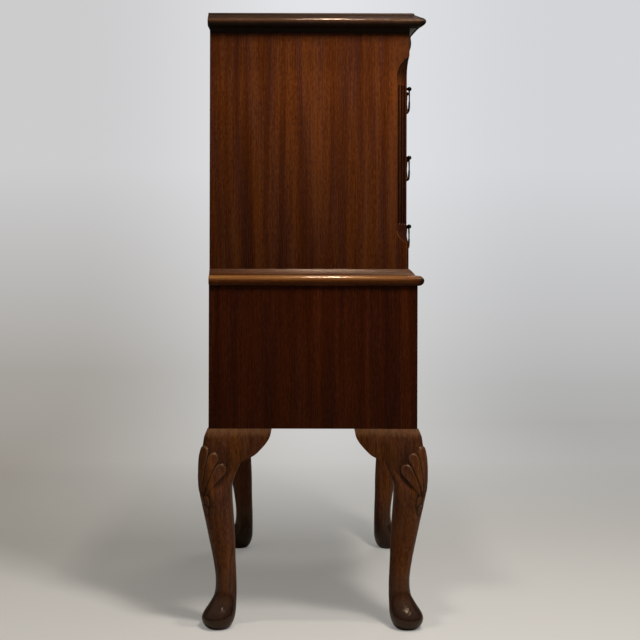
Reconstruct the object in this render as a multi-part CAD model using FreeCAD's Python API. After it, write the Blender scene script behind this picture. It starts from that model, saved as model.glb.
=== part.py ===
import FreeCAD, Part
import math
import os

# Serpentine-front chest of drawers in two stages on cabriole legs, in millimetres.
# The front faces -Y, +Z is up, and the origin is on the floor under the middle of the case.

V = FreeCAD.Vector
os.makedirs("parts", exist_ok=True)

# Case: the lower stage sets the plan, and the upper stage stands in from it at the front and sides
case_width = 760.0
case_depth = 464.0
upper_setback = 15.0
leg_height = 447.0

# Serpentine front: a swelling nose at the centre between two hollows that run out to the corners
trough_share = 0.605
trough_depth = 16.0
nose_depth = 3.0

# Fronts and rails, counted from the floor up
lower_bottom_rail = 14.0
lower_drawer_height = 138.75
lower_top_rail = 10.0
rail_thickness = 16.0
upper_bottom_rail = 25.0
upper_drawer_height = 144.0
frieze_height = 49.0
lower_drawers = 2
upper_drawers = 3

# Boards
side_thickness = 20.0
upper_side_thickness = 18.0
back_thickness = 8.0
back_inset = 2.0
bottom_thickness = 14.0
lower_top_thickness = 15.5
upper_bottom_thickness = 12.0
frieze_thickness = 24.0
rail_depth = 70.0
runner_width = 40.0
guide_height = 20.0
guide_gap = 0.5

# Lower corner posts and canted upper posts
post_width = 30.0
post_depth = 40.0
canted_post_width = 34.0
canted_post_depth = 46.0
cant_on_side = 28.0
tongue_length = 45.0
tongue_below_case_top = 61.5
foot_stop_length = 32.0
foot_stop_above_waist = 58.0
foot_stop_depth_share = 0.82
flute_count = 3
flute_pitch = 9.2
flute_radius = 3.4
flute_depth = 2.7
flute_below_tongue = 22.5
flute_above_stop = 13.0
flute_tip_share = 0.45
flute_sides = 10

# Waist moulding: a hollow running down to a half-round bead
bead_height = 23.0
bead_projection = 11.0
hollow_height = 14.0
hollow_top_lip = 0.8
hollow_width = 10.2
hollow_sag = 2.2
bead_steps = 6
hollow_steps = 3

# Coves under the top: a large one run through at the front, and a small one along each side
cove_height = 22.5
cove_projection = 21.0
cove_lip = 0.5
cove_sag = 0.6
cove_steps = 2
side_cove_height = 12.0
side_cove_projection = 12.0
side_cove_lip = 0.8
side_cove_sag = 1.2
side_cove_steps = 2

# Top board, from below: a short bevel, the round nose, a gentle slope and a rounded fillet
nose_middle_height = 10.0
top_nose_radius = 9.2
under_slope = 40.0
top_slope = 33.0
slope_width = 14.3
top_fillet_round = 4.5
top_fillet_quirk = 1.0
top_overhang = 28.0
top_back_overhang = 3.0
top_nose_steps = 4
fillet_steps = 2

# Cabriole legs, set out from the corner lines of the lower case
knee_bulge = 24.0
leg_block = 73.0
bracket_reach = 66.5
bracket_depth = 73.0
bracket_thickness = 30.0
leg_corner_flats = 3
dowel_radius = 5.0
dowel_in_leg = 30.0
dowel_in_case = 10.0
dowel_fit = 0.1
dowel_at_edge = 10.0
dowel_far = 56.0
dowel_near = 30.0

# Drawers
front_thickness = 22.0
drawer_side_gap = 1.0
drawer_top_gap = 1.0
run_gap = 0.3
drawer_side_thickness = 11.0
drawer_side_height = 112.0
drawer_bottom_thickness = 6.0
drawer_bottom_up = 7.0
groove_depth = 4.0
groove_fit = 0.2
drawer_back_gap = 25.0
drawer_back_drop = 6.0
stop_width = 30.0
stop_depth = 8.0
stop_height = 5.0
stop_share = 0.3

# Swan-neck handles: two turned posts, with a bail hung between their heads
handle_share = 0.54
post_span = 90.0
pivot_out = 21.0
rosette_radius = 12.0
rosette_edge = 1.6
rosette_height = 3.2
neck_radius = 3.5
stem_radius = 2.7
ball_radius = 5.2
post_sides = 8
pin_sides = 6
pin_radius = 1.8
pin_clearance = 0.05
pin_end_gap = 0.6
pin_length = 11.0
bail_neck_half = 37.0
bail_neck_radius = 20.0
bail_neck_turn = 30.0
bail_drop = 48.5
bail_width = 5.6
bail_thickness = 5.0
bail_neck_steps = 2
bail_loop_steps = 5

# Overrun of every cutting solid, and how far four corners may be out of one plane and still count as flat
overrun = 60.0
flat_tolerance = 1e-5

# Levels and widths that follow from the sizes above
half_width = case_width / 2
front_line = -case_depth / 2
back_line = case_depth / 2
lower_pitch = lower_drawer_height + rail_thickness
upper_pitch = upper_drawer_height + rail_thickness
lower_height = lower_bottom_rail + lower_drawers * lower_pitch - rail_thickness + lower_top_rail
upper_height = upper_bottom_rail + upper_drawers * upper_pitch - rail_thickness + frieze_height
waist_z = leg_height + lower_height
upper_z = waist_z + lower_top_thickness
waist_top = waist_z + bead_height + hollow_height
case_top = waist_top + upper_height
upper_half = half_width - upper_setback
back_face = back_line - back_inset - back_thickness
nose_rise = nose_middle_height + top_nose_radius * math.cos(math.radians(top_slope))
slope_rise = slope_width * math.tan(math.radians(top_slope))
top_thickness = nose_rise + slope_rise + top_fillet_quirk + top_fillet_round
lower_opening = half_width - post_width
upper_opening = upper_half - canted_post_width

# Arcs of the serpentine: the hollow passes through the corner, and the nose is tangent to both hollows
trough_x = trough_share * half_width
hollow_radius = ((half_width - trough_x) ** 2 + trough_depth**2) / (2 * trough_depth)
swell = trough_depth - nose_depth
centre_distance = (trough_x**2 + swell**2) / (2 * swell)
nose_radius = centre_distance - hollow_radius
hollow_centre_y = front_line + trough_depth - hollow_radius
nose_centre_y = front_line + nose_depth + nose_radius


def turn_x(offset):
    """Distance from the middle at which the nose meets the hollow, on a curve offset outwards."""
    return trough_x * (nose_radius + offset) / centre_distance


def front_y(x, offset):
    """Depth of the serpentine at x, on a curve offset outwards from the lower case's front."""
    if abs(x) <= turn_x(offset):
        return nose_centre_y - math.sqrt((nose_radius + offset) ** 2 - x**2)
    return hollow_centre_y + math.sqrt((hollow_radius - offset) ** 2 - (abs(x) - trough_x) ** 2)


def front_point(x, offset, z):
    return V(x, front_y(x, offset), z)


def front_curve(x0, x1, offset, z):
    """Edges of the serpentine from x0 to x1, in either direction."""
    low, high = sorted((x0, x1))
    turn = turn_x(offset)
    stops = [low] + [c for c in (-turn, turn) if low < c < high] + [high]
    if x0 > x1:
        stops.reverse()
    edges = []
    for a, b in zip(stops, stops[1:]):
        start, middle, end = (front_point(x, offset, z) for x in (a, (a + b) / 2, b))
        edges.append(Part.Arc(start, middle, end).toShape())
    return edges


def run(*points):
    """Straight edges through the points."""
    return [Part.LineSegment(a, b).toShape() for a, b in zip(points, points[1:])]


def prism(edges, height):
    return Part.Face(Part.Wire(edges)).extrude(V(0, 0, height))


def board(x0, x1, y0, y1, z0, z1):
    return Part.makeBox(x1 - x0, y1 - y0, z1 - z0, V(x0, y0, z0))


def fronted(x0, x1, offset, back, z0, z1):
    """A board with the serpentine as its front edge and a straight back."""
    edges = front_curve(x0, x1, offset, z0)
    edges += run(front_point(x1, offset, z0), V(x1, back, z0), V(x0, back, z0), front_point(x0, offset, z0))
    return prism(edges, z1 - z0)


def band(x0, x1, outer, inner, z0, z1):
    """A board of even thickness bent along the serpentine."""
    edges = front_curve(x0, x1, outer, z0)
    edges += run(front_point(x1, outer, z0), front_point(x1, inner, z0))
    edges += front_curve(x1, x0, inner, z0)
    edges += run(front_point(x0, inner, z0), front_point(x0, outer, z0))
    return prism(edges, z1 - z0)


def ahead(offset, x0, x1, z0, z1):
    """Everything in front of the serpentine, to trim boards that meet a bent one."""
    front = front_line - overrun
    edges = front_curve(x0, x1, offset, z0)
    start, end = front_point(x0, offset, z0), front_point(x1, offset, z0)
    edges += run(end, V(x1, front, z0), V(x0, front, z0), start)
    return prism(edges, z1 - z0)


def outline(offset, back, z):
    """Plan of the whole case at one level, offset outwards at the front and sides."""
    side = half_width + offset
    edges = front_curve(-side, side, offset, z)
    start, end = front_point(-side, offset, z), front_point(side, offset, z)
    edges += run(end, V(side, back, z), V(-side, back, z), start)
    return Part.Wire(edges)


def moulded(levels, back):
    """A solid that follows the case's plan, with the profile given by its levels and offsets."""
    return Part.makeLoft([outline(offset, back, z) for z, offset in levels], True, True)


def flat_face(corners):
    return Part.Face(Part.makePolygon(corners + corners[:1]))


def through(rings):
    """A solid with flat faces through rings of corners, each ring with as many corners as the next."""
    faces = [flat_face(rings[0]), flat_face(rings[-1])]
    for ring, above in zip(rings, rings[1:]):
        for k in range(len(ring)):
            a, b, c, d = ring[k - 1], ring[k], above[k], above[k - 1]
            normal = (b - a).cross(c - a)
            if abs(normal.dot(d - a)) < flat_tolerance * normal.Length:
                faces.append(flat_face([a, b, c, d]))
            else:
                faces += [flat_face([a, b, c]), flat_face([a, c, d])]
    solid = Part.Solid(Part.makeShell(faces))
    if solid.Volume < 0:
        solid.reverse()
    return solid


def turned(stations, place, sides, turn=1 / 2):
    """A turned piece with flat sides: radii at stations along an axis, set out by place(along, u, v)."""
    rings = []
    for along, radius in stations:
        corners = []
        for k in range(sides):
            angle = 2 * math.pi * (k + turn) / sides
            corners.append(place(along, radius * math.cos(angle), radius * math.sin(angle)))
        rings.append(corners)
    return through(rings)


def mirrored(shape):
    return shape.mirror(V(0, 0, 0), V(1, 0, 0))


def group(shapes):
    return Part.makeCompound(shapes)


def split_by_mitres(ring, inner, outer, z0, z1):
    """Front, left and right lengths of a moulding, mitred at the front corners."""
    inner_corner = front_point(-(half_width + inner), inner, z0 - overrun)
    outer_corner = front_point(-(half_width + outer), outer, z0 - overrun)
    slope = outer_corner - inner_corner
    slope.normalize()
    near = inner_corner - slope * overrun
    far = outer_corner + slope * overrun
    left_edge = far.x - overrun
    behind = back_line + overrun
    far_left = V(left_edge, far.y, near.z)
    corners = [near, far, far_left, V(left_edge, behind, near.z), V(near.x, behind, near.z), near]
    left_side = prism(run(*corners), z1 - z0 + 2 * overrun)
    right_side = mirrored(left_side)
    return ring.cut(left_side).cut(right_side), ring.common(left_side), ring.common(right_side)


def bowed(start, end, sag, steps):
    """Points along a shallow hollow between two (offset, height) points."""
    width = end[0] - start[0]
    height = end[1] - start[1]
    length = math.hypot(width, height)
    points = []
    for i in range(steps + 1):
        t = i / steps
        dip = 4 * sag * t * (1 - t)
        z = start[1] + t * height + dip * abs(width) / length
        points.append((z, start[0] + t * width - dip * height / length))
    return points


def top_board():
    """Top with a moulded edge."""
    nose = top_overhang - upper_setback
    centre = nose - top_nose_radius
    lowest = math.radians(under_slope) - math.pi / 2
    highest = math.pi / 2 - math.radians(top_slope)
    levels = []
    for i in range(top_nose_steps + 1):
        angle = lowest + (highest - lowest) * i / top_nose_steps
        z = case_top + nose_middle_height + top_nose_radius * math.sin(angle)
        levels.append((z, centre + top_nose_radius * math.cos(angle)))
    bevel_z, bevel_offset = levels[0]
    bevel_width = (bevel_z - case_top) / math.tan(math.radians(under_slope))
    levels.insert(0, (case_top, bevel_offset - bevel_width))
    slope_z, slope_offset = levels[-1]
    fillet_z = slope_z + slope_rise
    fillet_offset = slope_offset - slope_width
    levels.append((fillet_z, fillet_offset))
    inner = fillet_offset - top_fillet_quirk
    fillet = [(fillet_z, inner), (fillet_z + top_fillet_quirk, inner)]
    for i in range(1, fillet_steps + 1):
        angle = math.pi / 2 * i / fillet_steps
        z = fillet_z + top_fillet_quirk + top_fillet_round * math.sin(angle)
        fillet.append((z, inner - top_fillet_round * (1 - math.cos(angle))))
    back = back_line + top_back_overhang
    return moulded(levels, back).fuse(moulded(fillet, back)).removeSplitter()


def cove_ring(height, projection, lip, sag, steps):
    """A hollow moulding all round the front and sides of the upper case, close under the top."""
    inner = -upper_setback
    foot_z = case_top - height
    profile = bowed((inner + lip, foot_z), (inner + projection, case_top), sag, steps)
    core = fronted(-upper_half, upper_half, inner, back_line + overrun, foot_z, case_top)
    return moulded(profile, back_line).cut(core)


def coves():
    """Cove lengths below the top: front, left and right. The front one shows its ends at the sides."""
    corner_y = front_y(upper_half, -upper_setback)
    low = case_top - cove_height
    between = board(-upper_half, upper_half, front_line - overrun, 0, low, case_top)
    front = cove_ring(cove_height, cove_projection, cove_lip, cove_sag, cove_steps).common(between)
    ring = cove_ring(side_cove_height, side_cove_projection, side_cove_lip, side_cove_sag, side_cove_steps)
    beside = board(-half_width - overrun, -upper_half, corner_y, back_line, low, case_top)
    left = ring.common(beside)
    return front, left, mirrored(left)


def waist_moulding():
    """Waist lengths between the two stages: front, left and right."""
    inner = -upper_setback
    bead_middle = waist_z + bead_height / 2
    bead = []
    for i in range(bead_steps + 1):
        angle = math.pi * (i / bead_steps) - math.pi / 2
        bead.append((bead_middle + bead_height / 2 * math.sin(angle), bead_projection * math.cos(angle)))
    hollow_z = waist_z + bead_height
    top_offset = inner + hollow_top_lip
    hollow_foot = (top_offset + hollow_width, hollow_z)
    hollow = bowed(hollow_foot, (top_offset, waist_top), -hollow_sag, hollow_steps)
    ring = moulded(bead, back_line).fuse(moulded(hollow, back_line)).removeSplitter()
    core = fronted(-upper_half, upper_half, inner, back_line + overrun, waist_z, waist_top)
    return split_by_mitres(ring.cut(core), inner, bead_projection, waist_z, waist_top)


def cant_width(corner):
    """Width of the canted face, from the side face to where it meets the serpentine."""
    low, high = 0.0, 2 * cant_on_side
    while high - low > dowel_fit * dowel_fit:
        middle = (low + high) / 2
        if corner.y + cant_on_side - middle > front_y(corner.x + middle, -upper_setback):
            low = middle
        else:
            high = middle
    return low * math.sqrt(2)


def flute(foot, outward, length):
    """A hollow groove with rounded ends, standing on its lower end."""
    axis = foot + outward * (flute_radius - flute_depth)
    across = V(-outward.y, outward.x, 0)
    tip = flute_radius * flute_tip_share
    stations = [(-flute_radius, tip), (0, flute_radius)]
    stations += [(length, flute_radius), (length + flute_radius, tip)]
    return turned(stations, lambda z, u, v: axis + outward * u + across * v + V(0, 0, z), flute_sides)


def canted_post():
    """Left front post of the upper case: canted, fluted and stopped by lamb's tongues."""
    offset = -upper_setback
    corner = front_point(-upper_half, offset, 0)
    outward = V(-1, -1, 0)
    outward.normalize()
    along = V(1, -1, 0)
    along.normalize()
    on_side = V(corner.x, corner.y + cant_on_side, 0)
    reach = cant_on_side / math.sqrt(2)
    tongue_top = case_top - tongue_below_case_top
    tongue_foot = tongue_top - tongue_length
    stop_foot = waist_top + foot_stop_above_waist
    stop_top = stop_foot + foot_stop_length

    def place(depth, z):
        return on_side + outward * depth + V(0, 0, z) - along * overrun

    def scoop(z0, z1, depth):
        """One hollow arc, starting upright in the cant at z0 and coming out to a depth at z1."""
        length = abs(z1 - z0)
        radius = (length**2 + depth**2) / (2 * depth)
        half_turn = math.asin(length / radius) / 2
        rise = math.copysign(radius * math.sin(half_turn), z1 - z0)
        return place(0, z0), place(radius * (1 - math.cos(half_turn)), z0 + rise), place(depth, z1)

    block = fronted(-upper_half, -upper_opening, offset, corner.y + canted_post_depth, upper_z, case_top)
    upper_scoop = scoop(tongue_foot, tongue_top, reach)
    foot_depth = foot_stop_depth_share * reach
    lower_scoop = scoop(stop_top, stop_foot, foot_depth)
    below = upper_z - overrun
    edges = [Part.Arc(*upper_scoop).toShape()]
    outside = place(overrun, tongue_top)
    edges += run(upper_scoop[-1], outside, place(overrun, below), place(foot_depth, below), lower_scoop[-1])
    edges.append(Part.Arc(*reversed(lower_scoop)).toShape())
    edges += run(lower_scoop[0], upper_scoop[0])
    cant = Part.Face(Part.Wire(edges)).extrude(along * (2 * overrun))
    post = block.cut(cant)
    middle = on_side + along * (cant_width(corner) / 2)
    flute_foot = stop_top + flute_above_stop
    flute_length = tongue_foot - flute_below_tongue - flute_foot
    for i in range(flute_count):
        shift = (i - (flute_count - 1) / 2) * flute_pitch
        foot = middle + along * shift + V(0, 0, flute_foot)
        post = post.cut(flute(foot, outward, flute_length))
    return post


# Leg levels from the top down. Each row gives the share of the leg's height, the outer edge as a share of
# the knee's bulge, the inner edge as a share of the block, the crest's and the other corners' roundness as
# shares of half the width, the fall from the crest to the brackets as a share of the bulge, and how far the
# front follows the serpentine.
leg_level_shares = [
    (1.000, 0.10, 1.000, 0.10, 0.03, 0.05, 1.00),
    (0.965, 0.38, 1.000, 0.28, 0.03, 0.17, 1.00),
    (0.918, 0.68, 1.000, 0.45, 0.03, 0.30, 1.00),
    (0.875, 0.88, 1.000, 0.55, 0.04, 0.40, 1.00),
    (0.835, 0.97, 0.975, 0.60, 0.10, 0.44, 0.95),
    (0.785, 1.00, 0.860, 0.62, 0.32, 0.35, 0.75),
    (0.727, 0.96, 0.725, 0.68, 0.55, 0.20, 0.40),
    (0.667, 0.83, 0.712, 0.78, 0.72, 0.08, 0.12),
    (0.580, 0.50, 0.745, 0.88, 0.86, 0.02, 0.00),
    (0.457, 0.07, 0.790, 0.97, 0.97, 0.00, 0.00),
    (0.335, -0.36, 0.805, 0.97, 0.97, 0.00, 0.00),
    (0.235, -0.58, 0.829, 0.97, 0.97, 0.00, 0.00),
    (0.160, -0.47, 0.835, 0.97, 0.97, 0.00, 0.00),
    (0.115, -0.02, 0.830, 0.97, 0.97, 0.00, 0.00),
    (0.080, 0.44, 0.822, 0.97, 0.97, 0.00, 0.00),
    (0.050, 0.65, 0.790, 0.97, 0.97, 0.00, 0.00),
    (0.018, 0.44, 0.710, 0.97, 0.97, 0.00, 0.00),
    (0.000, 0.10, 0.610, 0.97, 0.97, 0.00, 0.00),
]

# Bracket stations from the leg outwards: shares of the reach, of the depth below the case and of the swell
bracket_shares = [
    (0.00, 1.00, 1.00),
    (0.17, 0.92, 0.85),
    (0.45, 0.79, 0.62),
    (0.63, 0.64, 0.46),
    (0.80, 0.47, 0.30),
    (0.90, 0.34, 0.19),
    (0.97, 0.20, 0.11),
    (1.00, 0.06, 0.06),
]
bracket_top_swell_share = 0.05
bracket_middle_swell_share = 0.38
bracket_foot_swell_share = 0.53


def recess(inboard, follows):
    """How far the serpentine has drawn back at a distance from the corner, where the piece follows it."""
    if not follows:
        return 0.0
    return front_y(half_width - inboard, 0) - front_line


def tangent_ring(circles, z):
    """Corners of a level outline round four circles, each rounded in a few flats."""
    normals = []
    for (ax, ay, ar), (bx, by, br) in zip(circles, circles[1:] + circles[:1]):
        along = math.atan2(by - ay, bx - ax)
        lean = math.asin((ar - br) / math.hypot(bx - ax, by - ay))
        normals.append(along - math.pi / 2 + lean)
    corners = []
    for i, (cx, cy, r) in enumerate(circles):
        start = normals[i - 1]
        end = normals[i]
        while end <= start:
            end += 2 * math.pi
        for k in range(leg_corner_flats + 1):
            angle = start + (end - start) * k / leg_corner_flats
            corners.append(V(cx + r * math.cos(angle), cy + r * math.sin(angle), z))
    return corners


def leg(follows):
    """Left cabriole leg in the front corner, its front following the serpentine where asked."""
    sections = []
    for height, outer, inner, crest, rounding, fall, follow in leg_level_shares:
        out = outer * knee_bulge
        inboard = inner * leg_block
        half = (out + inboard) / 2
        crest_radius = crest * half
        corner_radius = rounding * half
        side_edge = fall * knee_bulge - out
        front_edge = side_edge + follow * recess(leg_block, follows)
        local = [
            (crest_radius - out, crest_radius - out, crest_radius),
            (inboard - corner_radius, corner_radius + front_edge, corner_radius),
            (inboard - corner_radius, inboard - corner_radius, corner_radius),
            (corner_radius + side_edge, inboard - corner_radius, corner_radius),
        ]
        circles = [(u - half_width, v + front_line, r) for u, v, r in local]
        sections.append(tangent_ring(circles, height * leg_height))
    return through(sections)


def bracket(follows, on_front):
    """Knee bracket of the left front leg, running along the side or along the front."""
    sections = []
    for reach, depth, swelling in bracket_shares:
        inboard = leg_block + reach * bracket_reach
        drop = depth * bracket_depth
        back_off = recess(inboard, follows)

        def place(out, z):
            if on_front:
                return V(inboard - half_width, back_off - out + front_line, z)
            return V(-out - half_width, inboard + front_line, z)

        bulge = swelling * knee_bulge
        top = place(bracket_top_swell_share * bulge, leg_height)
        middle = place(bracket_middle_swell_share * bulge, leg_height - drop / 2)
        foot = place(bracket_foot_swell_share * bulge, leg_height - drop)
        inner_foot = place(-bracket_thickness, leg_height - drop)
        inner_top = place(-bracket_thickness, leg_height)
        sections.append([top, middle, foot, inner_foot, inner_top])
    return through(sections)


def to_corner(shape, right, back):
    """The left front piece carried to another corner."""
    if right:
        shape = shape.mirror(V(0, 0, 0), V(1, 0, 0))
    if back:
        shape = shape.mirror(V(0, 0, 0), V(0, 1, 0))
    return shape


def dowels(radius, low, high):
    """Two upright dowels or dowel holes in each leg and the case above it."""
    pins = []
    for right in (False, True):
        for back in (False, True):
            for u, v in ((dowel_at_edge, dowel_far), (dowel_far, dowel_near)):
                axis = V(u - half_width, v + front_line, 0)
                ends = [(low, radius), (high, radius)]
                pin = turned(ends, lambda z, a, b: axis + V(a, b, z), pin_sides)
                pins.append(to_corner(pin, right, back))
    return pins


def lower_rails():
    """Bottom, middle and top rails of the lower case, with the stops glued on for its drawers."""
    pieces = []
    z = leg_height
    thicknesses = [lower_bottom_rail] + [rail_thickness] * (lower_drawers - 1) + [lower_top_rail]
    for i, thickness in enumerate(thicknesses):
        back = front_line + rail_depth
        pieces.append(fronted(-lower_opening, lower_opening, 0, back, z, z + thickness))
        if i < lower_drawers:
            pieces += stops(0, z + thickness)
        z += thickness + lower_drawer_height
    return pieces


def upper_rails():
    """Bottom rail and dividers of the upper case, with the stops glued on for its drawers."""
    offset = -upper_setback
    back = front_y(upper_half, offset) + rail_depth
    top = waist_top + upper_bottom_rail
    pieces = [fronted(-upper_opening, upper_opening, offset, back, upper_z, top)]
    pieces += stops(offset, top)
    for i in range(1, upper_drawers):
        top = upper_drawer_floor(i)
        pieces.append(fronted(-upper_opening, upper_opening, offset, back, top - rail_thickness, top))
        pieces += stops(offset, top)
    return pieces


def stops(offset, z):
    """Two stop blocks on a rail, just behind the drawer front's inner face."""
    blocks = []
    for side in (-1, 1):
        middle = side * stop_share * half_width
        near = middle - stop_width / 2
        far = middle + stop_width / 2
        inner = offset - front_thickness
        front = max(front_y(near, inner), front_y(far, inner)) + run_gap
        blocks.append(board(near, far, front, front + stop_depth, z, z + stop_height))
    return blocks


def lower_drawer_floor(i):
    return leg_height + lower_bottom_rail + i * lower_pitch


def upper_drawer_floor(i):
    return waist_top + upper_bottom_rail + i * upper_pitch


def runner_pair(side_inner, opening, start, floor, with_runner):
    """Runner and guide at each side for one drawer."""
    pieces = []
    guide_edge = drawer_side_gap - guide_gap - opening
    runner_edge = runner_width - side_inner
    under = floor - rail_thickness
    for right in (False, True):
        guide = board(-side_inner, guide_edge, start, back_face, floor, floor + guide_height)
        pieces.append(to_corner(guide, right, False))
        if with_runner:
            runner = board(-side_inner, runner_edge, start, back_face, under, floor)
            pieces.append(to_corner(runner, right, False))
    return pieces


def turned_post(x, offset, pivot_y, z, hand):
    """Turned handle post: rosette bedded on the front, stem and a round head bored for the bail's pin."""
    tip = pivot_y - ball_radius
    left_y = front_y(x - rosette_radius, offset)
    right_y = front_y(x + rosette_radius, offset)
    seat = (left_y + right_y) / 2
    slant = (right_y - left_y) / (2 * rosette_radius)
    stations = [
        (seat, rosette_radius),
        (seat - rosette_edge, rosette_radius),
        (seat - rosette_height, neck_radius),
        (pivot_y + ball_radius, stem_radius),
        (pivot_y + ball_radius / 2, ball_radius),
        (pivot_y - ball_radius / 2, ball_radius),
        (tip, stem_radius),
    ]
    post = turned(stations, lambda y, u, v: V(x + u, y + slant * u, z + v), post_sides)
    bore_start = x - hand * 2 * ball_radius
    bore_end = x + hand * (bail_neck_half + pin_length + pin_end_gap - post_span / 2)
    bore_radius = (pin_radius + pin_clearance) / math.cos(math.pi / pin_sides)
    ends = [(bore_start, bore_radius), (bore_end, bore_radius)]
    bore = turned(ends, lambda along, u, v: V(along, pivot_y + u, z + v), pin_sides, 0)
    return post.cut(bore)


def bail(x, pivot_y, z):
    """Swan-neck bail hanging from its pins: each neck turns outwards, then the loop comes round below."""
    turn = math.radians(bail_neck_turn)
    loop_radius = (bail_drop - bail_neck_radius * math.sin(turn)) / (1 + math.sin(turn))
    neck_centre_x = bail_neck_half + bail_neck_radius
    loop_x = neck_centre_x - (bail_neck_radius + loop_radius) * math.cos(turn)
    loop_z = loop_radius - bail_drop

    def side(shift):
        """One edge of the right half, from the pin down to the bottom, shifted outwards."""
        points = [(bail_neck_half + shift, bail_width / 2)]
        radius = bail_neck_radius - shift
        for k in range(bail_neck_steps):
            angle = turn * k / bail_neck_steps
            points.append((neck_centre_x - radius * math.cos(angle), -radius * math.sin(angle)))
        radius = loop_radius + shift
        for k in range(bail_loop_steps + 1):
            angle = turn - (turn + math.pi / 2) * k / bail_loop_steps
            points.append((loop_x + radius * math.cos(angle), loop_z + radius * math.sin(angle)))
        return points

    outer = side(bail_width / 2)
    inner = side(-bail_width / 2)
    ring = outer + [(-u, w) for u, w in reversed(outer)]
    ring += [(-u, w) for u, w in inner] + list(reversed(inner))
    corners = [V(x + u, pivot_y - bail_thickness / 2, z + w) for u, w in ring]
    body = Part.Face(Part.makePolygon(corners + corners[:1])).extrude(V(0, bail_thickness, 0))
    for hand in (-1, 1):
        root = x + hand * bail_neck_half
        pin_stations = [(root, pin_radius), (root + hand * pin_length, pin_radius)]
        pin = turned(pin_stations, lambda along, u, v: V(along, pivot_y + u, z + v), pin_sides)
        body = body.fuse(pin)
    return body.removeSplitter()


def drawer(opening, offset, floor, height):
    """One drawer: its front, box, bottom, handle posts and two bails, in that order."""
    hx = opening - drawer_side_gap
    z0 = floor + run_gap
    inner = offset - front_thickness
    front = band(-hx, hx, offset, inner, z0, floor + height - drawer_top_gap)
    trim = ahead(inner, -hx - overrun, hx + overrun, z0 - overrun, z0 + height)
    back = back_face - drawer_back_gap
    side_top = z0 + drawer_side_height
    inside = hx - drawer_side_thickness
    bottom_z = z0 + drawer_bottom_up
    bottom_top = bottom_z + drawer_bottom_thickness
    groove_end = inside + groove_depth
    groove_low = bottom_z - groove_fit
    groove_high = bottom_top + groove_fit
    groove = board(inside - groove_depth, groove_end, front_line, back + overrun, groove_low, groove_high)
    side = board(inside, hx, front_line, back, z0, side_top).cut(trim).cut(groove)
    back_top = side_top - drawer_back_drop
    back_board = board(-inside, inside, back - drawer_side_thickness, back, bottom_top, back_top)
    box = group([side, mirrored(side), back_board])
    reach = groove_end - groove_fit
    bottom = board(-reach, reach, front_line, back, bottom_z, bottom_top).cut(trim)
    z = floor + height / 2
    posts = []
    bails = []
    for side_hand in (-1, 1):
        x = side_hand * handle_share * half_width
        pivot_y = front_y(x, offset) - pivot_out
        for hand in (-1, 1):
            post_x = x + hand * post_span / 2
            posts.append(turned_post(post_x, offset, pivot_y, z, hand))
        bails.append(bail(x, pivot_y, z))
    return front, box, bottom, group(posts), bails[0], bails[1]


nodes = {}

# Top and cornice
nodes["top_board"] = top_board()
nodes["cove_front"], nodes["cove_left"], nodes["cove_right"] = coves()
nodes["waist_front"], nodes["waist_left"], nodes["waist_right"] = waist_moulding()

# Upper case
upper_corner_y = front_y(upper_half, -upper_setback)
upper_inner = upper_half - upper_side_thickness
upper_side_start = upper_corner_y + canted_post_depth
upper_side = board(-upper_half, -upper_inner, upper_side_start, back_line, upper_z, case_top)
nodes["upper_side_left"] = upper_side
nodes["upper_side_right"] = mirrored(upper_side)
nodes["canted_post_left"] = canted_post()
nodes["canted_post_right"] = mirrored(nodes["canted_post_left"])
frieze_z = case_top - frieze_height
nodes["frieze_rail"] = band(
    -upper_opening, upper_opening, -upper_setback, -upper_setback - frieze_thickness, frieze_z, case_top
)
nodes["upper_rails"] = group(upper_rails())
upper_start = upper_corner_y + rail_depth
upper_runners = []
for i in range(upper_drawers):
    upper_runners += runner_pair(upper_inner, upper_opening, upper_start, upper_drawer_floor(i), True)
nodes["upper_runners"] = group(upper_runners)
back_outside = back_face + back_thickness
nodes["upper_back"] = board(-upper_inner, upper_inner, back_face, back_outside, upper_z, case_top)
upper_bottom_top = upper_z + upper_bottom_thickness
nodes["upper_bottom"] = board(-upper_inner, upper_inner, upper_start, back_face, upper_z, upper_bottom_top)

# Lower case
lower_inner = half_width - side_thickness
post_back = front_line + post_depth
dowel_top = leg_height + dowel_in_case
dowel_foot = leg_height - dowel_in_leg
holes = group(dowels(dowel_radius + dowel_fit, dowel_foot, dowel_top))
lower_side = board(-half_width, -lower_inner, post_back, back_line, leg_height, waist_z).cut(holes)
nodes["lower_side_left"] = lower_side
nodes["lower_side_right"] = mirrored(lower_side)
lower_post = fronted(-half_width, -lower_opening, 0, post_back, leg_height, waist_z)
nodes["lower_posts"] = group([lower_post, mirrored(lower_post)])
nodes["lower_rails"] = group([piece.cut(holes) for piece in lower_rails()])
lower_start = front_line + rail_depth
lower_runners = []
for i in range(lower_drawers):
    lower_runners += runner_pair(lower_inner, lower_opening, lower_start, lower_drawer_floor(i), i > 0)
nodes["lower_runners"] = group(lower_runners)
nodes["lower_back"] = board(-lower_inner, lower_inner, back_face, back_outside, leg_height, waist_z)
bottom_top = leg_height + bottom_thickness
lower_bottom = board(-lower_inner, lower_inner, lower_start, back_face, leg_height, bottom_top)
nodes["lower_bottom"] = lower_bottom.cut(holes)
nodes["lower_top"] = fronted(-upper_half, upper_half, -upper_setback, back_line, waist_z, upper_z)

# Legs, brackets and dowels
brackets = []
for back, depth_name in ((False, "front"), (True, "back")):
    for right, side_name in ((False, "left"), (True, "right")):
        placed = to_corner(leg(not back), right, back)
        nodes[f"leg_{depth_name}_{side_name}"] = placed.cut(holes)
        for on_front in (False, True):
            brackets.append(to_corner(bracket(on_front and not back, on_front), right, back))
nodes["knee_brackets"] = group(brackets)
nodes["leg_dowels"] = group(dowels(dowel_radius, dowel_foot, dowel_top))

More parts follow.
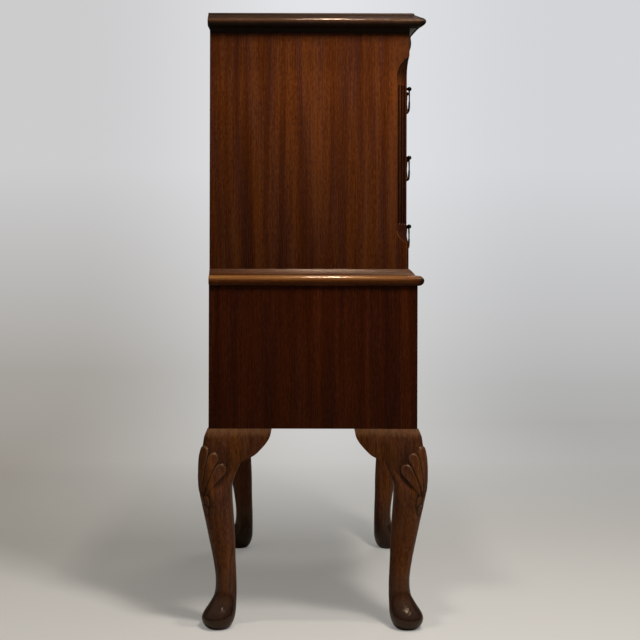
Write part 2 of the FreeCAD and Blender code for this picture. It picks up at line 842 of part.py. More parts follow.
# Drawers, numbered from the top
places = []
for i in reversed(range(upper_drawers)):
    places.append((upper_opening, -upper_setback, upper_drawer_floor(i), upper_drawer_height))
for i in reversed(range(lower_drawers)):
    places.append((lower_opening, 0, lower_drawer_floor(i), lower_drawer_height))
names = ("front", "box", "bottom", "handle_posts", "bail_left", "bail_right")
for number, place in enumerate(places, 1):
    for name, shape in zip(names, drawer(*place)):
        nodes[f"drawer_{number}_{name}"] = shape

for name, shape in nodes.items():
    shape.exportStep(f"parts/{name}.step")
print(len(nodes), "nodes, height", round(case_top + top_thickness, 3), "mm")
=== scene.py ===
import math

import bmesh
import bpy
from mathutils import Matrix, Vector


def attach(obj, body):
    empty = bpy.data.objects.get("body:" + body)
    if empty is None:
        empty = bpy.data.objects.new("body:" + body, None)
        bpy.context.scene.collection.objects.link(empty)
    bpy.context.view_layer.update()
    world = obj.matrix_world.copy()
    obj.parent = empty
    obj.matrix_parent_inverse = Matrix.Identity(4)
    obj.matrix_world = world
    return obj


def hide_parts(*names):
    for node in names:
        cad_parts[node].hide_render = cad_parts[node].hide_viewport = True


# Serpentine chest of drawers in two stages on cabriole legs, in millimetres until a mesh is made
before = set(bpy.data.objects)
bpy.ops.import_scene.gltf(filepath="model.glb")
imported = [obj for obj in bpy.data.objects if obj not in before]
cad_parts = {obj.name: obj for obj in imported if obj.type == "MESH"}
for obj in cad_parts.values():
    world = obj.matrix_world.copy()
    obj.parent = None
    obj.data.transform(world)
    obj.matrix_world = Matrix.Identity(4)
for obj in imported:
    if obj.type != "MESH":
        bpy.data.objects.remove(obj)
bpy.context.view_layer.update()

MM = 0.001

# Plan of the case
HALF = 380.0
FRONT = -232.0
BACK = 232.0
SETBACK = 15.0
UPPER_HALF = HALF - SETBACK
TROUGH_X = 0.605 * HALF
TROUGH_DEPTH = 16.0
NOSE_DEPTH = 3.0
HOLLOW_R = ((HALF - TROUGH_X) ** 2 + TROUGH_DEPTH**2) / (2 * TROUGH_DEPTH)
SWELL = TROUGH_DEPTH - NOSE_DEPTH
CENTRES = (TROUGH_X**2 + SWELL**2) / (2 * SWELL)
NOSE_R = CENTRES - HOLLOW_R
HOLLOW_Y = FRONT + TROUGH_DEPTH - HOLLOW_R
NOSE_Y = FRONT + NOSE_DEPTH + NOSE_R

# Levels
LEG_TOP = 447.0
WAIST = 764.5
UPPER_FOOT = 780.0
WAIST_TOP = 801.5
CASE_TOP = 1339.5

# Half widths of the drawer openings in each stage, and the thickness of a drawer front
UPPER_OPENING = 331.0
LOWER_OPENING = 350.0
FRONT_THICK = 22.0


# Materials


def colour(hex_text):
    """An sRGB hex colour as linear light."""
    parts = [int(hex_text[i : i + 2], 16) / 255 for i in (1, 3, 5)]
    return [c / 12.92 if c <= 0.04045 else ((c + 0.055) / 1.055) ** 2.4 for c in parts] + [1.0]


def scaled(hex_text, red, green, blue):
    """A colour with the three parts of its light scaled."""
    light = colour(hex_text)
    return [light[0] * red, light[1] * green, light[2] * blue, 1.0]


def give(made, inputs):
    """Gives inputs of a node their values, or links them."""
    for key, value in inputs.items():
        if isinstance(value, bpy.types.NodeSocket):
            made.id_data.links.new(value, made.inputs[key])
        else:
            made.inputs[key].default_value = value


def node(tree, kind, inputs=None, stops=(), out=0, **settings):
    """Adds one node with its settings, colour stops and inputs, and returns one of its outputs."""
    made = tree.nodes.new(kind)
    for name, value in settings.items():
        setattr(made, name, value)
    for _ in stops[2:]:
        made.color_ramp.elements.new(0.5)
    for number, (place, tone) in enumerate(stops):
        element = made.color_ramp.elements[number]
        element.position = place
        element.color = colour(tone) if isinstance(tone, str) else tone
    give(made, inputs or {})
    return made.outputs[out]


def blank(name):
    """A new material, with its node tree and its main shader."""
    material = bpy.data.materials.new(name)
    material.use_nodes = True
    return material, material.node_tree, material.node_tree.nodes["Principled BSDF"]


def cells(along_axis, across, along):
    """Mapping scale for a pattern with cells of these sizes in millimetres, long along one axis."""
    return [1 / (MM * (along if axis == along_axis else across)) for axis in "XYZ"]


def polished_wood(name, grain, tones, worn_and_lit, ribbon, coat, rough=0.26, painted_falloff=None, dark_feet=False):
    """Mahogany under a thin rubbed polish, with stripes of a ribbon's width along the grain axis."""
    material, tree, shader = blank(name)
    place = node(tree, "ShaderNodeTexCoord", out="Object")
    dark, middle, light = tones

    def pattern(across, along, detail, roughness, wander):
        stretched = node(tree, "ShaderNodeMapping", {"Vector": place, "Scale": cells(grain, across, along)})
        links = {"Vector": stretched, "Scale": 1.0, "Detail": detail, "Roughness": roughness}
        return node(tree, "ShaderNodeTexNoise", {**links, "Distortion": wander})

    def weighed(parts):
        total = 0.0
        for value, weight in parts:
            links = {0: value, 1: weight, 2: total}
            total = node(tree, "ShaderNodeMath", links, operation="MULTIPLY_ADD")
        return total

    # Ribbons where the interlocked fibres change their lean, about as wide as a finger
    ribbons = pattern(ribbon, ribbon * 30, 2.0, 0.5, 0.35)
    # Growth tone over a hand's width
    growth = pattern(70.0, 900.0, 1.0, 0.5, 0.4)
    # Fibre bundles, drawn about 2 mm wide so that they show at arm's length
    fibres = pattern(2.1, 95.0, 3.0, 0.6, 0.1)
    # Short flecks across the ribbons
    flecks = pattern(3.2, 11.0, 2.0, 0.6, 0.0)
    # Open pores, under 1 mm wide on the real timber and drawn a little coarser
    pores = pattern(1.1, 11.0, 1.0, 0.5, 0.0)
    tone = weighed([(ribbons, 0.37), (growth, 0.14), (fibres, 0.18), (flecks, 0.31)])
    stops = [(0.4, dark), (0.5, middle), (0.6, light)]
    figure = node(tree, "ShaderNodeValToRGB", {0: tone}, stops)
    # The sheet drifts between a purple brown and an orange brown about every 26 mm
    drift = pattern(26.0, 260.0, 2.0, 0.5, 0.3)
    stops = [(0.38, scaled(middle, 0.86, 0.95, 2.0)), (0.62, scaled(middle, 1.18, 1.04, 0.35))]
    drifted = node(tree, "ShaderNodeValToRGB", {0: drift}, stops)
    body = node(tree, "ShaderNodeMix", {0: 0.45, 6: figure, 7: drifted}, out=2, data_type="RGBA")
    if painted_falloff:
        # Painted light falloff: lighter towards its top, and darker towards its foot and back edge, where
        # less light falls
        foot, head, foot_share, head_share = painted_falloff
        _, depth, height = node(tree, "ShaderNodeSeparateXYZ", {0: place}).node.outputs
        links = {0: height, 1: foot * MM, 2: head * MM, 3: foot_share, 4: head_share}
        risen = node(tree, "ShaderNodeMapRange", links, clamp=False)
        aback = node(tree, "ShaderNodeMapRange", {0: depth, 1: 20 * MM, 2: BACK * MM, 3: 1.0, 4: 0.82})
        falloff_scale = node(tree, "ShaderNodeMath", {0: risen, 1: aback}, operation="MULTIPLY")
        body = node(tree, "ShaderNodeVectorMath", {0: body, "Scale": falloff_scale}, operation="SCALE")
    pore_mask = node(tree, "ShaderNodeMapRange", {0: pores, 1: 0.3, 2: 0.4, 3: 1.0, 4: 0.0})
    open_share = node(tree, "ShaderNodeMath", {0: pore_mask, 1: 0.45}, operation="MULTIPLY")
    # Edges that hands have rubbed to a lighter brown, and a lighter brown painted as sheen where highlights
    # fall, broken up by the fibres
    wear = node(tree, "ShaderNodeAttribute", out="Fac", attribute_name="wear")
    broken = node(tree, "ShaderNodeMapRange", {0: fibres, 1: 0.35, 2: 0.6, 3: 0.45, 4: 1.0})
    worn_and_lit_share = node(tree, "ShaderNodeMath", {0: wear, 1: broken}, operation="MULTIPLY")
    # Painted shade darkens hollows, creases and faces that get little light, together with dust and old
    # polish in the hollows of the carving
    grime = node(tree, "ShaderNodeAttribute", out="Fac", attribute_name="grime")
    layers = [(open_share, scaled(dark, 0.35, 0.35, 0.35)), (worn_and_lit_share, colour(worn_and_lit))]
    layers.append((grime, scaled(dark, 0.22, 0.22, 0.22)))
    clean = node(tree, "ShaderNodeMath", {0: -coat, 1: grime, 2: coat}, operation="MULTIPLY_ADD")
    polish = node(tree, "ShaderNodeMath", {0: wear, 1: clean}, operation="MULTIPLY")
    if dark_feet:
        # The feet are darker and smoother than the rest of the leg
        height = node(tree, "ShaderNodeSeparateXYZ", {0: place}, out=2)
        links = {0: height, 1: 30 * MM, 2: 160 * MM, 3: 1.0, 4: 0.0}
        low = node(tree, "ShaderNodeMapRange", links, interpolation_type="SMOOTHSTEP")
        low_share = node(tree, "ShaderNodeMath", {0: low, 1: 0.85}, operation="MULTIPLY")
        layers.append((low_share, colour("#12090a")))
        polish = node(tree, "ShaderNodeMath", {0: low, 1: polish}, operation="ADD")
    for share, tone in layers:
        body = node(tree, "ShaderNodeMix", {0: share, 6: body, 7: tone}, out=2, data_type="RGBA")
    relief = weighed([(fibres, 0.5), (pore_mask, -0.5)])
    bump = node(tree, "ShaderNodeBump", {"Height": relief, "Strength": 0.25, "Distance": 0.0006})
    # Rubbed places are smoother and shine more, and the varnish warms what it mirrors
    links = {0: fibres, 1: 0.3, 2: 0.7, 3: rough - 0.05, 4: rough + 0.07}
    satin = node(tree, "ShaderNodeMapRange", links)
    rubbed = node(tree, "ShaderNodeMath", {0: polish, 1: 2.5}, operation="MULTIPLY", use_clamp=True)
    gloss = node(tree, "ShaderNodeMix", {0: rubbed, 2: satin, 3: 0.14})
    gleam = node(tree, "ShaderNodeMath", {0: polish, 1: 0.6, 2: 0.16}, operation="MULTIPLY_ADD")
    give(shader, {"Base Color": body, "Normal": bump, "Roughness": gloss, "IOR": 1.5})
    give(shader, {"Specular IOR Level": gleam, "Specular Tint": colour("#ffdfc0")})
    return material


# Quarter-cut ribbon mahogany veneer, French polished: reddish brown with upright stripes
side_tones = ("#270f05", "#49220e", "#6c3b19")
# The side veneer is painted lighter towards its top and darker towards its foot and back edge, as painted
# light falloff
side_painted_falloff = (830.0, 1270.0, 0.76, 1.24)
side_veneer = polished_wood("ribbon_mahogany_veneer", "Z", side_tones, "#6b3d20", 22.0, 0.0, painted_falloff=side_painted_falloff)
# The lower case has a darker and redder sheet of the same veneer
low_tones = ("#1e0801", "#381506", "#52250d")
# The lower veneer is painted a little lighter towards its top and darker towards its back edge, as painted
# light falloff
low_painted_falloff = (460.0, 760.0, 0.95, 1.1)
low_veneer = polished_wood("dark_mahogany_veneer", "Z", low_tones, "#55301a", 22.0, 0.0, painted_falloff=low_painted_falloff)
# Drawer fronts and rails: the same veneer, with its fibres across the front
front_tones = ("#351809", "#4f2611", "#69381c")
front_veneer = polished_wood("front_mahogany_veneer", "X", front_tones, "#7d4d2c", 14.0, 0.3)
# Solid mahogany mouldings of the waist, rubbed to a shine along their edges
moulding_tones = ("#2e1206", "#4c250e", "#6c3d1a")
long_moulding = polished_wood("moulded_mahogany_across", "X", moulding_tones, "#8a5a2a", 6.0, 1.0, 0.3)
side_moulding = polished_wood("moulded_mahogany_deep", "Y", moulding_tones, "#8a5a2a", 6.0, 1.0, 0.3)
# Top: old dark mahogany gone grey-brown with dust and wax
top_tones = ("#1a0d07", "#2b1a10", "#3d2a1d")
top_wood = polished_wood("aged_mahogany_top", "X", top_tones, "#452a1a", 12.0, 0.55, 0.42)
# Legs: solid mahogany, sawn and carved by hand, polished darker towards the feet
leg_tones = ("#2e160b", "#60361b", "#7e4c27")
leg_wood = polished_wood("carved_mahogany", "Z", leg_tones, "#6e523a", 8.0, 0.3, 0.28, dark_feet=True)


def plain_wood(name, grain, dark, light):
    """Unpolished secondary timber, sawn and planed: dry, pale and matt."""
    material, tree, shader = blank(name)
    place = node(tree, "ShaderNodeTexCoord", out="Object")
    wide = node(tree, "ShaderNodeMapping", {"Vector": place, "Scale": cells(grain, 24.0, 700.0)})
    fine = node(tree, "ShaderNodeMapping", {"Vector": place, "Scale": cells(grain, 1.8, 60.0)})
    rings = node(tree, "ShaderNodeTexNoise", {"Vector": wide, "Scale": 1.0, "Detail": 2.0})
    fibres = node(tree, "ShaderNodeTexNoise", {"Vector": fine, "Scale": 1.0, "Detail": 3.0})
    part = node(tree, "ShaderNodeMath", {0: rings, 1: 0.6}, operation="MULTIPLY")
    tone = node(tree, "ShaderNodeMath", {0: fibres, 1: 0.4, 2: part}, operation="MULTIPLY_ADD")
    body = node(tree, "ShaderNodeValToRGB", {0: tone}, [(0.38, dark), (0.62, light)])
    bump = node(tree, "ShaderNodeBump", {"Height": fibres, "Strength": 0.3, "Distance": 0.0005})
    give(shader, {"Base Color": body, "Normal": bump, "Roughness": 0.72})
    return material


box_wood = plain_wood("planed_oak_deep", "Y", "#8b6a45", "#a98960")
wide_wood = plain_wood("planed_oak_across", "X", "#86653f", "#a4845a")
# Sawn pine behind the facings, grey with age, and painted near white so that its sawn ends show pale grey in
# the shade under the top
core_pine = plain_wood("sawn_grey_pine", "X", "#b5b3b0", "#d2d0cd")
# Back boards are stained brown towards the polished sides
back_wood = plain_wood("stained_back_board", "Z", "#4a3220", "#63452c")


def antique_brass():
    """Cast brass, toned dark brown and rubbed brighter where hands touch it."""
    material, tree, shader = blank("toned_cast_brass")
    place = node(tree, "ShaderNodeTexCoord", out="Object")
    # Patches of tone 6 mm wide and a fine cast grain of 1 mm
    patches = node(tree, "ShaderNodeTexNoise", {"Vector": place, "Scale": 1 / (6 * MM), "Detail": 3.0})
    grain = node(tree, "ShaderNodeTexNoise", {"Vector": place, "Scale": 1 / MM, "Detail": 2.0})
    stops = [(0.35, "#0e0b08"), (0.52, "#19130d"), (0.72, "#35291b")]
    body = node(tree, "ShaderNodeValToRGB", {0: patches}, stops)
    wear = node(tree, "ShaderNodeAttribute", out="Fac", attribute_name="wear")
    links = {0: wear, 6: body, 7: colour("#5a472c")}
    body = node(tree, "ShaderNodeMix", links, out=2, data_type="RGBA")
    shine = node(tree, "ShaderNodeMapRange", {0: patches, 1: 0.3, 2: 0.7, 3: 0.48, 4: 0.3})
    bump = node(tree, "ShaderNodeBump", {"Height": grain, "Strength": 0.2, "Distance": 0.0002})
    give(shader, {"Base Color": body, "Normal": bump, "Roughness": shine, "Metallic": 1.0})
    return material


brass = antique_brass()


# Meshes


def placed(name, data):
    """A new object of the scene, at the origin."""
    made = bpy.data.objects.new(name, data)
    bpy.context.scene.collection.objects.link(made)
    return made


def piece(name, parts, material, nodes, body="case", sharp=32.0, bevel=0.0, marks=None):
    """One finished piece from parts of (points in mm, faces). marks are values for each point."""
    points = []
    faces = []
    for part_points, part_faces in parts:
        start = len(points)
        points += part_points
        faces += [[start + i for i in face] for face in part_faces]
    mesh = bpy.data.meshes.new(name)
    mesh.from_pydata([(x * MM, y * MM, z * MM) for x, y, z in points], [], faces)
    for mark, values in (marks or {}).items():
        layer = mesh.attributes.new(mark, "FLOAT", "POINT")
        layer.data.foreach_set("value", values)
    work = bmesh.new()
    work.from_mesh(mesh)
    bmesh.ops.recalc_face_normals(work, faces=work.faces)
    work.to_mesh(mesh)
    work.free()
    mesh.polygons.foreach_set("use_smooth", [True] * len(mesh.polygons))
    mesh.set_sharp_from_angle(angle=math.radians(sharp))
    mesh.materials.append(material)
    made = placed(name, mesh)
    if bevel:
        edge = made.modifiers.new("rubbed_edges", "BEVEL")
        edge.width = bevel * MM
        edge.segments = 2
        edge.limit_method = "ANGLE"
        edge.angle_limit = math.radians(40)
        edge.harden_normals = True
    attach(made, body)
    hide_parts(*nodes)


def lofted(rings):
    """Points and faces of a closed solid through rings of equal counts."""
    count = len(rings[0])
    points = [tuple(p) for ring in rings for p in ring]
    faces = [list(range(count)), list(range(len(points) - count, len(points)))]
    for r in range(len(rings) - 1):
        for k in range(count):
            a = r * count + k
            b = r * count + (k + 1) % count
            faces.append([a, b, b + count, a + count])
    return points, faces


def turn_x(offset):
    return TROUGH_X * (NOSE_R + offset) / CENTRES


def front_y(x, offset):
    """Depth of the serpentine at x, on a curve offset outwards from the lower case's front."""
    if abs(x) <= turn_x(offset):
        return NOSE_Y - math.sqrt((NOSE_R + offset) ** 2 - x**2)
    return HOLLOW_Y + math.sqrt((HOLLOW_R - offset) ** 2 - (abs(x) - TROUGH_X) ** 2)


def spread(low, high, count):
    return [low + (high - low) * i / count for i in range(count + 1)]


def bent(x0, x1, profile, count=72):
    """A length that follows the serpentine, with a closed profile of (offset, z)."""
    return lofted([[(x, front_y(x, o), z) for o, z in profile] for x in spread(x0, x1, count)])


# Distances behind the mitre at which a side length has points, so that the corner's painted shade stays
# there
CORNER_STEPS = [0.0, 3.0, 6.0, 9.0, 13.0, 18.0, 40.0, 70.0, 110.0]


def mitred(profile, run):
    """A moulding length: front between both mitres, or left or right from the back to its mitre."""
    if run == "front":
        rings = []
        for share in spread(-1, 1, 96):
            across = [share * (HALF + o) for o, z in profile]
            rings.append([(x, front_y(x, o), z) for x, (o, z) in zip(across, profile)])
        return lofted(rings)
    side = -1 if run == "left" else 1
    rings = [[(side * (HALF + o), BACK, z) for o, z in profile]]
    for behind in reversed(CORNER_STEPS):
        rings.append([(side * (HALF + o), front_y(HALF + o, o) + behind, z) for o, z in profile])
    return lofted(rings)


def plan_ring(offset, back, z):
    """Plan of the case at one level, offset outwards at the front and sides."""
    side = HALF + offset
    ring = [(x, front_y(x, offset), z) for x in spread(-side, side, 96)]
    corner = ring[0][1]
    ring += [(side, corner + behind, z) for behind in CORNER_STEPS[1:]] + [(side, back, z), (-side, back, z)]
    return ring + [(-side, corner + behind, z) for behind in reversed(CORNER_STEPS[1:])]


def board(x0, x1, y0, y1, z0, z1):
    return lofted([[(x0, y0, z), (x1, y0, z), (x1, y1, z), (x0, y1, z)] for z in (z0, z1)])


def fronted(x0, x1, offset, back, z0, z1, count=72):
    rings = []
    for z in (z0, z1):
        ring = [(x, front_y(x, offset), z) for x in spread(x0, x1, count)]
        rings.append(ring + [(x1, back, z), (x0, back, z)])
    return lofted(rings)


def arc(cx, cy, rx, ry, start, end, steps):
    turns = [math.radians(a) for a in spread(start, end, steps)]
    return [(cx + rx * math.cos(a), cy + ry * math.sin(a)) for a in turns]


def smooth_step(low, high, value):
    t = max(0.0, min(1.0, (value - low) / (high - low)))
    return t * t * (3 - 2 * t)


# Top, cove and waist


def bowed(start, end, sag, steps):
    """A shallow hollow between two (offset, z) points, sunk to one side."""
    du = end[0] - start[0]
    dz = end[1] - start[1]
    length = math.hypot(du, dz)
    dips = [(t, 4 * sag * t * (1 - t) / length) for t in spread(0, 1, steps)]
    return [(start[0] + t * du - dip * dz, start[1] + t * dz + dip * abs(du)) for t, dip in dips]


def from_corner(x, y):
    """Distance from the nearer front corner, along the side or across the front."""
    return y - front_y(UPPER_HALF, 0.0) + SETBACK if abs(x) >= UPPER_HALF else UPPER_HALF - abs(x)


def corner_shade(x, y):
    """Painted shade: the mouldings' front corners are painted black, fading out within a finger's width."""
    return 0.9 * (1 - smooth_step(1.0, 16.0, from_corner(x, y)))


def sheen_along_length(x, y):
    """The mouldings' rubbed, lighter band, also painted as sheen where the highlight falls, is strongest
    along their length and weaker towards their front corners.
    """
    return 0.4 + 0.6 * smooth_step(10.0, 110.0, from_corner(x, y))


# Edge of the top from below: a short bevel, a round nose, a gentle slope and a rounded fillet
TOP_NOSE_OUT = 12.95
TOP_NOSE_R = 9.2
TOP_NOSE_Z = CASE_TOP + 10.0
BEVEL_ANGLE = math.radians(40)
SLOPE_RUN = 14.3
SLOPE_ANGLE = math.radians(33)
FILLET_R = 4.5
TOP_OVERHANG = 3.0
top_edge = arc(TOP_NOSE_OUT - TOP_NOSE_R, TOP_NOSE_Z, TOP_NOSE_R, TOP_NOSE_R, -50, 57, 16)
bevel_out, bevel_head = top_edge[0]
top_edge.insert(0, (bevel_out - (bevel_head - CASE_TOP) / math.tan(BEVEL_ANGLE), CASE_TOP))
slope_out, slope_foot = top_edge[-1]
top_edge.append((slope_out - SLOPE_RUN, slope_foot + SLOPE_RUN * math.tan(SLOPE_ANGLE)))
fillet_out, fillet_z = top_edge[-1][0] - 1.0, top_edge[-1][1]
top_edge.append((fillet_out, fillet_z))
top_edge += arc(fillet_out - FILLET_R, fillet_z + 1.0, FILLET_R, FILLET_R, 0, 90, 6)
top_part = lofted([plan_ring(o, BACK + TOP_OVERHANG, z) for o, z in top_edge])
wear, grime = [], []
# The nose's upper half is rubbed and painted lighter where its highlight falls; dust greys the slope above
# it, and the underside below the nose is painted dark as shade
for x, y, z in top_part[0]:
    rise = z - TOP_NOSE_Z
    wear.append(sheen_along_length(x, y) * smooth_step(-2, 2, rise) * (1 - smooth_step(5, 8, rise)))
    dust_and_shade = max(0.35 * smooth_step(5, 9, rise), 0.6 * (1 - smooth_step(-7, -3, rise)))
    grime.append(max(corner_shade(x, y), dust_and_shade))
marks = {"wear": wear, "grime": grime}
piece("top", [top_part], top_wood, ["top_board"], sharp=25.0, bevel=0.4, marks=marks)

# The front cove is a polished facing on a pine core, and the core's sawn ends show at the sides
FACING = 3.2
CORNER_Y = front_y(UPPER_HALF, -SETBACK)
COVE_FOOT = CASE_TOP - 22.5
COVE_OUT = 6.0
cove_line = bowed((0.5 - SETBACK, COVE_FOOT), (COVE_OUT, CASE_TOP), 0.6, 12)
core_line = [(o - FACING * 0.76, z + FACING * 0.65) for o, z in cove_line if z < CASE_TOP - FACING]
facing_head = (COVE_OUT - FACING * 1.3, CASE_TOP)
core_foot = (-SETBACK, COVE_FOOT + FACING)
facing = [(-SETBACK, COVE_FOOT)] + cove_line + [facing_head] + core_line[:0:-1] + [core_foot]
core = [core_foot] + core_line[1:] + [facing_head, (-SETBACK, CASE_TOP)]
for layer, outline, wood, slot, sharp in (
    ("facing", facing, top_wood, "moulding_mahogany", 30.0),
    ("core", core, core_pine, "secondary_wood", 32.0),
):
    part = bent(-UPPER_HALF, UPPER_HALF, outline, 96)
    piece(f"cove_front_{layer}", [part], wood, ["cove_front"], sharp=sharp)
SIDE_COVE_FOOT = CASE_TOP - 12.0
side_line = bowed((-14.2, SIDE_COVE_FOOT), (-3.0, CASE_TOP), 1.2, 10)
side_cove = [(-SETBACK, SIDE_COVE_FOOT)] + side_line + [(-SETBACK, CASE_TOP)]
for side, side_name in ((-1, "left"), (1, "right")):
    part = lofted([[(side * (HALF + o), y, z) for o, z in side_cove] for y in (CORNER_Y, BACK)])
    name = f"cove_{side_name}"
    # The side coves are painted dark all over as the shade under the top
    marks = {"grime": [0.85] * len(part[0])}
    piece(name, [part], top_wood, [name], sharp=30.0, marks=marks)

# The waist is a hollow over a half-round bead, in three lengths that meet in mitres
BEAD_TOP = WAIST + 23.0
BEAD_OUT = 11.0
BEAD_HALF = 11.5
waist = [(-SETBACK, WAIST), (0.0, WAIST)]
waist += arc(0.0, WAIST + BEAD_HALF, BEAD_OUT, BEAD_HALF, -84, 84, 14) + [(0.0, BEAD_TOP)]
waist += bowed((-4.0, BEAD_TOP), (-14.2, WAIST_TOP), -2.2, 8) + [(-SETBACK, WAIST_TOP)]
for run in ("front", "left", "right"):
    part = mitred(waist, run)
    wear, grime = [], []
    for number, (x, y, z) in enumerate(part[0]):
        # The bead's upper half is rubbed and painted lighter where its highlight falls; the hollow is
        # darkened, and its crease against the bead is painted dark as shade
        if waist[number % len(waist)][0] < -2:
            rubbed = 0.04
            dust_and_shade = max(0.35, 0.5 * (1 - smooth_step(0.0, 5.0, abs(z - BEAD_TOP))))
        else:
            rubbed = 0.9 * smooth_step(WAIST + 11, WAIST + 17, z)
            dust_and_shade = 0.0
        wear.append(rubbed * sheen_along_length(x, y))
        grime.append(max(corner_shade(x, y), dust_and_shade))
    name = f"waist_{run}"
    wood = long_moulding if run == "front" else side_moulding
    marks = {"wear": wear, "grime": grime}
    piece(name, [part], wood, [name], sharp=30.0, bevel=0.3, marks=marks)


# Canted and fluted corners of the upper case

CANT = 28.0
POST_BACK = CORNER_Y + 46.0
REACH = CANT / math.sqrt(2)
TONGUE_TOP = CASE_TOP - 61.5
TONGUE_FOOT = TONGUE_TOP - 45.0
STOP_FOOT = WAIST_TOP + 58.0
STOP_TOP = STOP_FOOT + 32.0
STOP_DEPTH = 0.82 * REACH
FLUTE_FOOT = STOP_TOP + 13.0
FLUTE_TOP = TONGUE_FOOT - 22.5
FLUTE_PITCH = 9.2
FLUTE_R = 3.4
CANT_STEPS = 66


def scoop(rise, length, depth):
    """Depth of a hollow arc that starts upright and comes out to a depth over a length."""
    radius = (length**2 + depth**2) / (2 * depth)
    return radius - math.sqrt(radius**2 - rise**2)


def cant_depth(z):
    """How far the canted plane stands out towards the corner at each level."""
    if z >= TONGUE_TOP:
        return REACH
    if z > TONGUE_FOOT:
        return scoop(z - TONGUE_FOOT, TONGUE_TOP - TONGUE_FOOT, REACH)
    if z > STOP_TOP:
        return 0.0
    return scoop(STOP_TOP - max(z, STOP_FOOT), STOP_TOP - STOP_FOOT, STOP_DEPTH)


def flute_depth(s, z):
    """Depth of the three hollow grooves at a distance s from the middle of the cant."""
    nearest = max(-FLUTE_PITCH, min(FLUTE_PITCH, round(s / FLUTE_PITCH) * FLUTE_PITCH))
    away = math.hypot(s - nearest, max(FLUTE_FOOT - z, z - FLUTE_TOP, 0.0))
    return math.sqrt(FLUTE_R**2 - away**2) - 0.7 if away < FLUTE_R - 0.08 else 0.0


def post_ring(z):
    """One level of the left post: round the back, along the side, over the cant and along the front."""
    start_y = CORNER_Y + CANT - math.sqrt(2) * min(cant_depth(z), REACH - 0.02)
    low, high = 0.0, 2 * CANT
    for _ in range(30):
        middle = (low + high) / 2
        if start_y - middle > front_y(-UPPER_HALF + middle, -SETBACK):
            low = middle
        else:
            high = middle
    width = low * math.sqrt(2)
    ring = [(-UPPER_OPENING, POST_BACK, z), (-UPPER_HALF, POST_BACK, z), (-UPPER_HALF, start_y + 1.5, z)]
    for i in range(CANT_STEPS + 1):
        s = width * i / CANT_STEPS
        sunk = flute_depth(s - width / 2, z)
        ring.append((-UPPER_HALF + (s + sunk) / math.sqrt(2), start_y + (sunk - s) / math.sqrt(2), z))
    for x in spread(-UPPER_HALF + low, -UPPER_OPENING, 8)[1:]:
        ring.append((x, front_y(x, -SETBACK), z))
    return ring


levels = [UPPER_FOOT, STOP_FOOT - 0.5]
levels += spread(STOP_FOOT, STOP_TOP, 26)
levels += [STOP_TOP + 5] + spread(FLUTE_FOOT - 3.6, FLUTE_FOOT + 0.4, 10)
levels += spread(FLUTE_FOOT + 20, FLUTE_TOP - 20, 6) + spread(FLUTE_TOP - 0.4, FLUTE_TOP + 3.6, 10)
levels += spread(TONGUE_FOOT, TONGUE_TOP - 0.02, 34) + [TONGUE_TOP, CASE_TOP]
post_points, post_faces = lofted([post_ring(z) for z in levels])
POINTS_BEHIND = 3
wear, grime = [], []
for number, (x, y, z) in enumerate(post_points):
    step = number % (len(post_points) // len(levels)) - POINTS_BEHIND
    depth = cant_depth(z)
    # The arrises of the cant are rubbed bright by hands and painted lighter as highlights, most of all round
    # the stop at its foot
    arris = 0.0
    if 0.3 < depth < REACH - 0.3:
        if z < STOP_TOP and 0 <= step <= 3:
            arris = 1.0
        elif step in (0, CANT_STEPS):
            arris = 0.6
    # Painted shade darkens the cant, fills the flutes, the tongue and the stop, and thins out over the
    # corner above it
    if depth < REACH - 0.3 and 0 < step < CANT_STEPS:
        tongue = 0.5 * smooth_step(FLUTE_TOP, TONGUE_FOOT + 10, z)
        stop = 0.25 * smooth_step(FLUTE_FOOT, STOP_FOOT, z)
        fluted = (UPPER_HALF + x + y - CORNER_Y - CANT) / math.sqrt(2) / 2.0
        cant_shade = max(0.3 + tongue + stop, min(0.95, fluted))
    else:
        cant_shade = 0.32 * smooth_step(TONGUE_FOOT, TONGUE_TOP, z) if step >= -1 else 0.0
    grime.append(cant_shade * (1 - arris))
    wear.append(arris)
marks = {"wear": wear, "grime": grime}
for side, side_name in ((1, "left"), (-1, "right")):
    part = ([(side * x, y, z) for x, y, z in post_points], post_faces)
    name = f"canted_corner_{side_name}"
    piece(name, [part], side_veneer, [f"canted_post_{side_name}"], sharp=28.0, marks=marks)


# Rails and posts

FRIEZE_THICK = 24.0
frieze_foot = CASE_TOP - 49.0
frieze = [(-SETBACK, frieze_foot), (-SETBACK, CASE_TOP)]
frieze += [(-SETBACK - FRIEZE_THICK, CASE_TOP), (-SETBACK - FRIEZE_THICK, frieze_foot)]
frieze_part = bent(-UPPER_OPENING, UPPER_OPENING, frieze)
piece("frieze", [frieze_part], front_veneer, ["frieze_rail"])


def rail_parts(half, offset, back, rails):
    """Rails given by foot and head. Each but the one at the waist has drawer stops glued on it."""
    parts = []
    inner = offset - FRONT_THICK
    for foot, head in rails:
        parts.append(fronted(-half, half, offset, back, foot, head))
        if head == WAIST:
            continue
        for middle in (-0.3 * HALF, 0.3 * HALF):
            front = max(front_y(middle - 15, inner), front_y(middle + 15, inner)) + 0.3
            parts.append(board(middle - 15, middle + 15, front, front + 8, head, head + 5))
    return parts


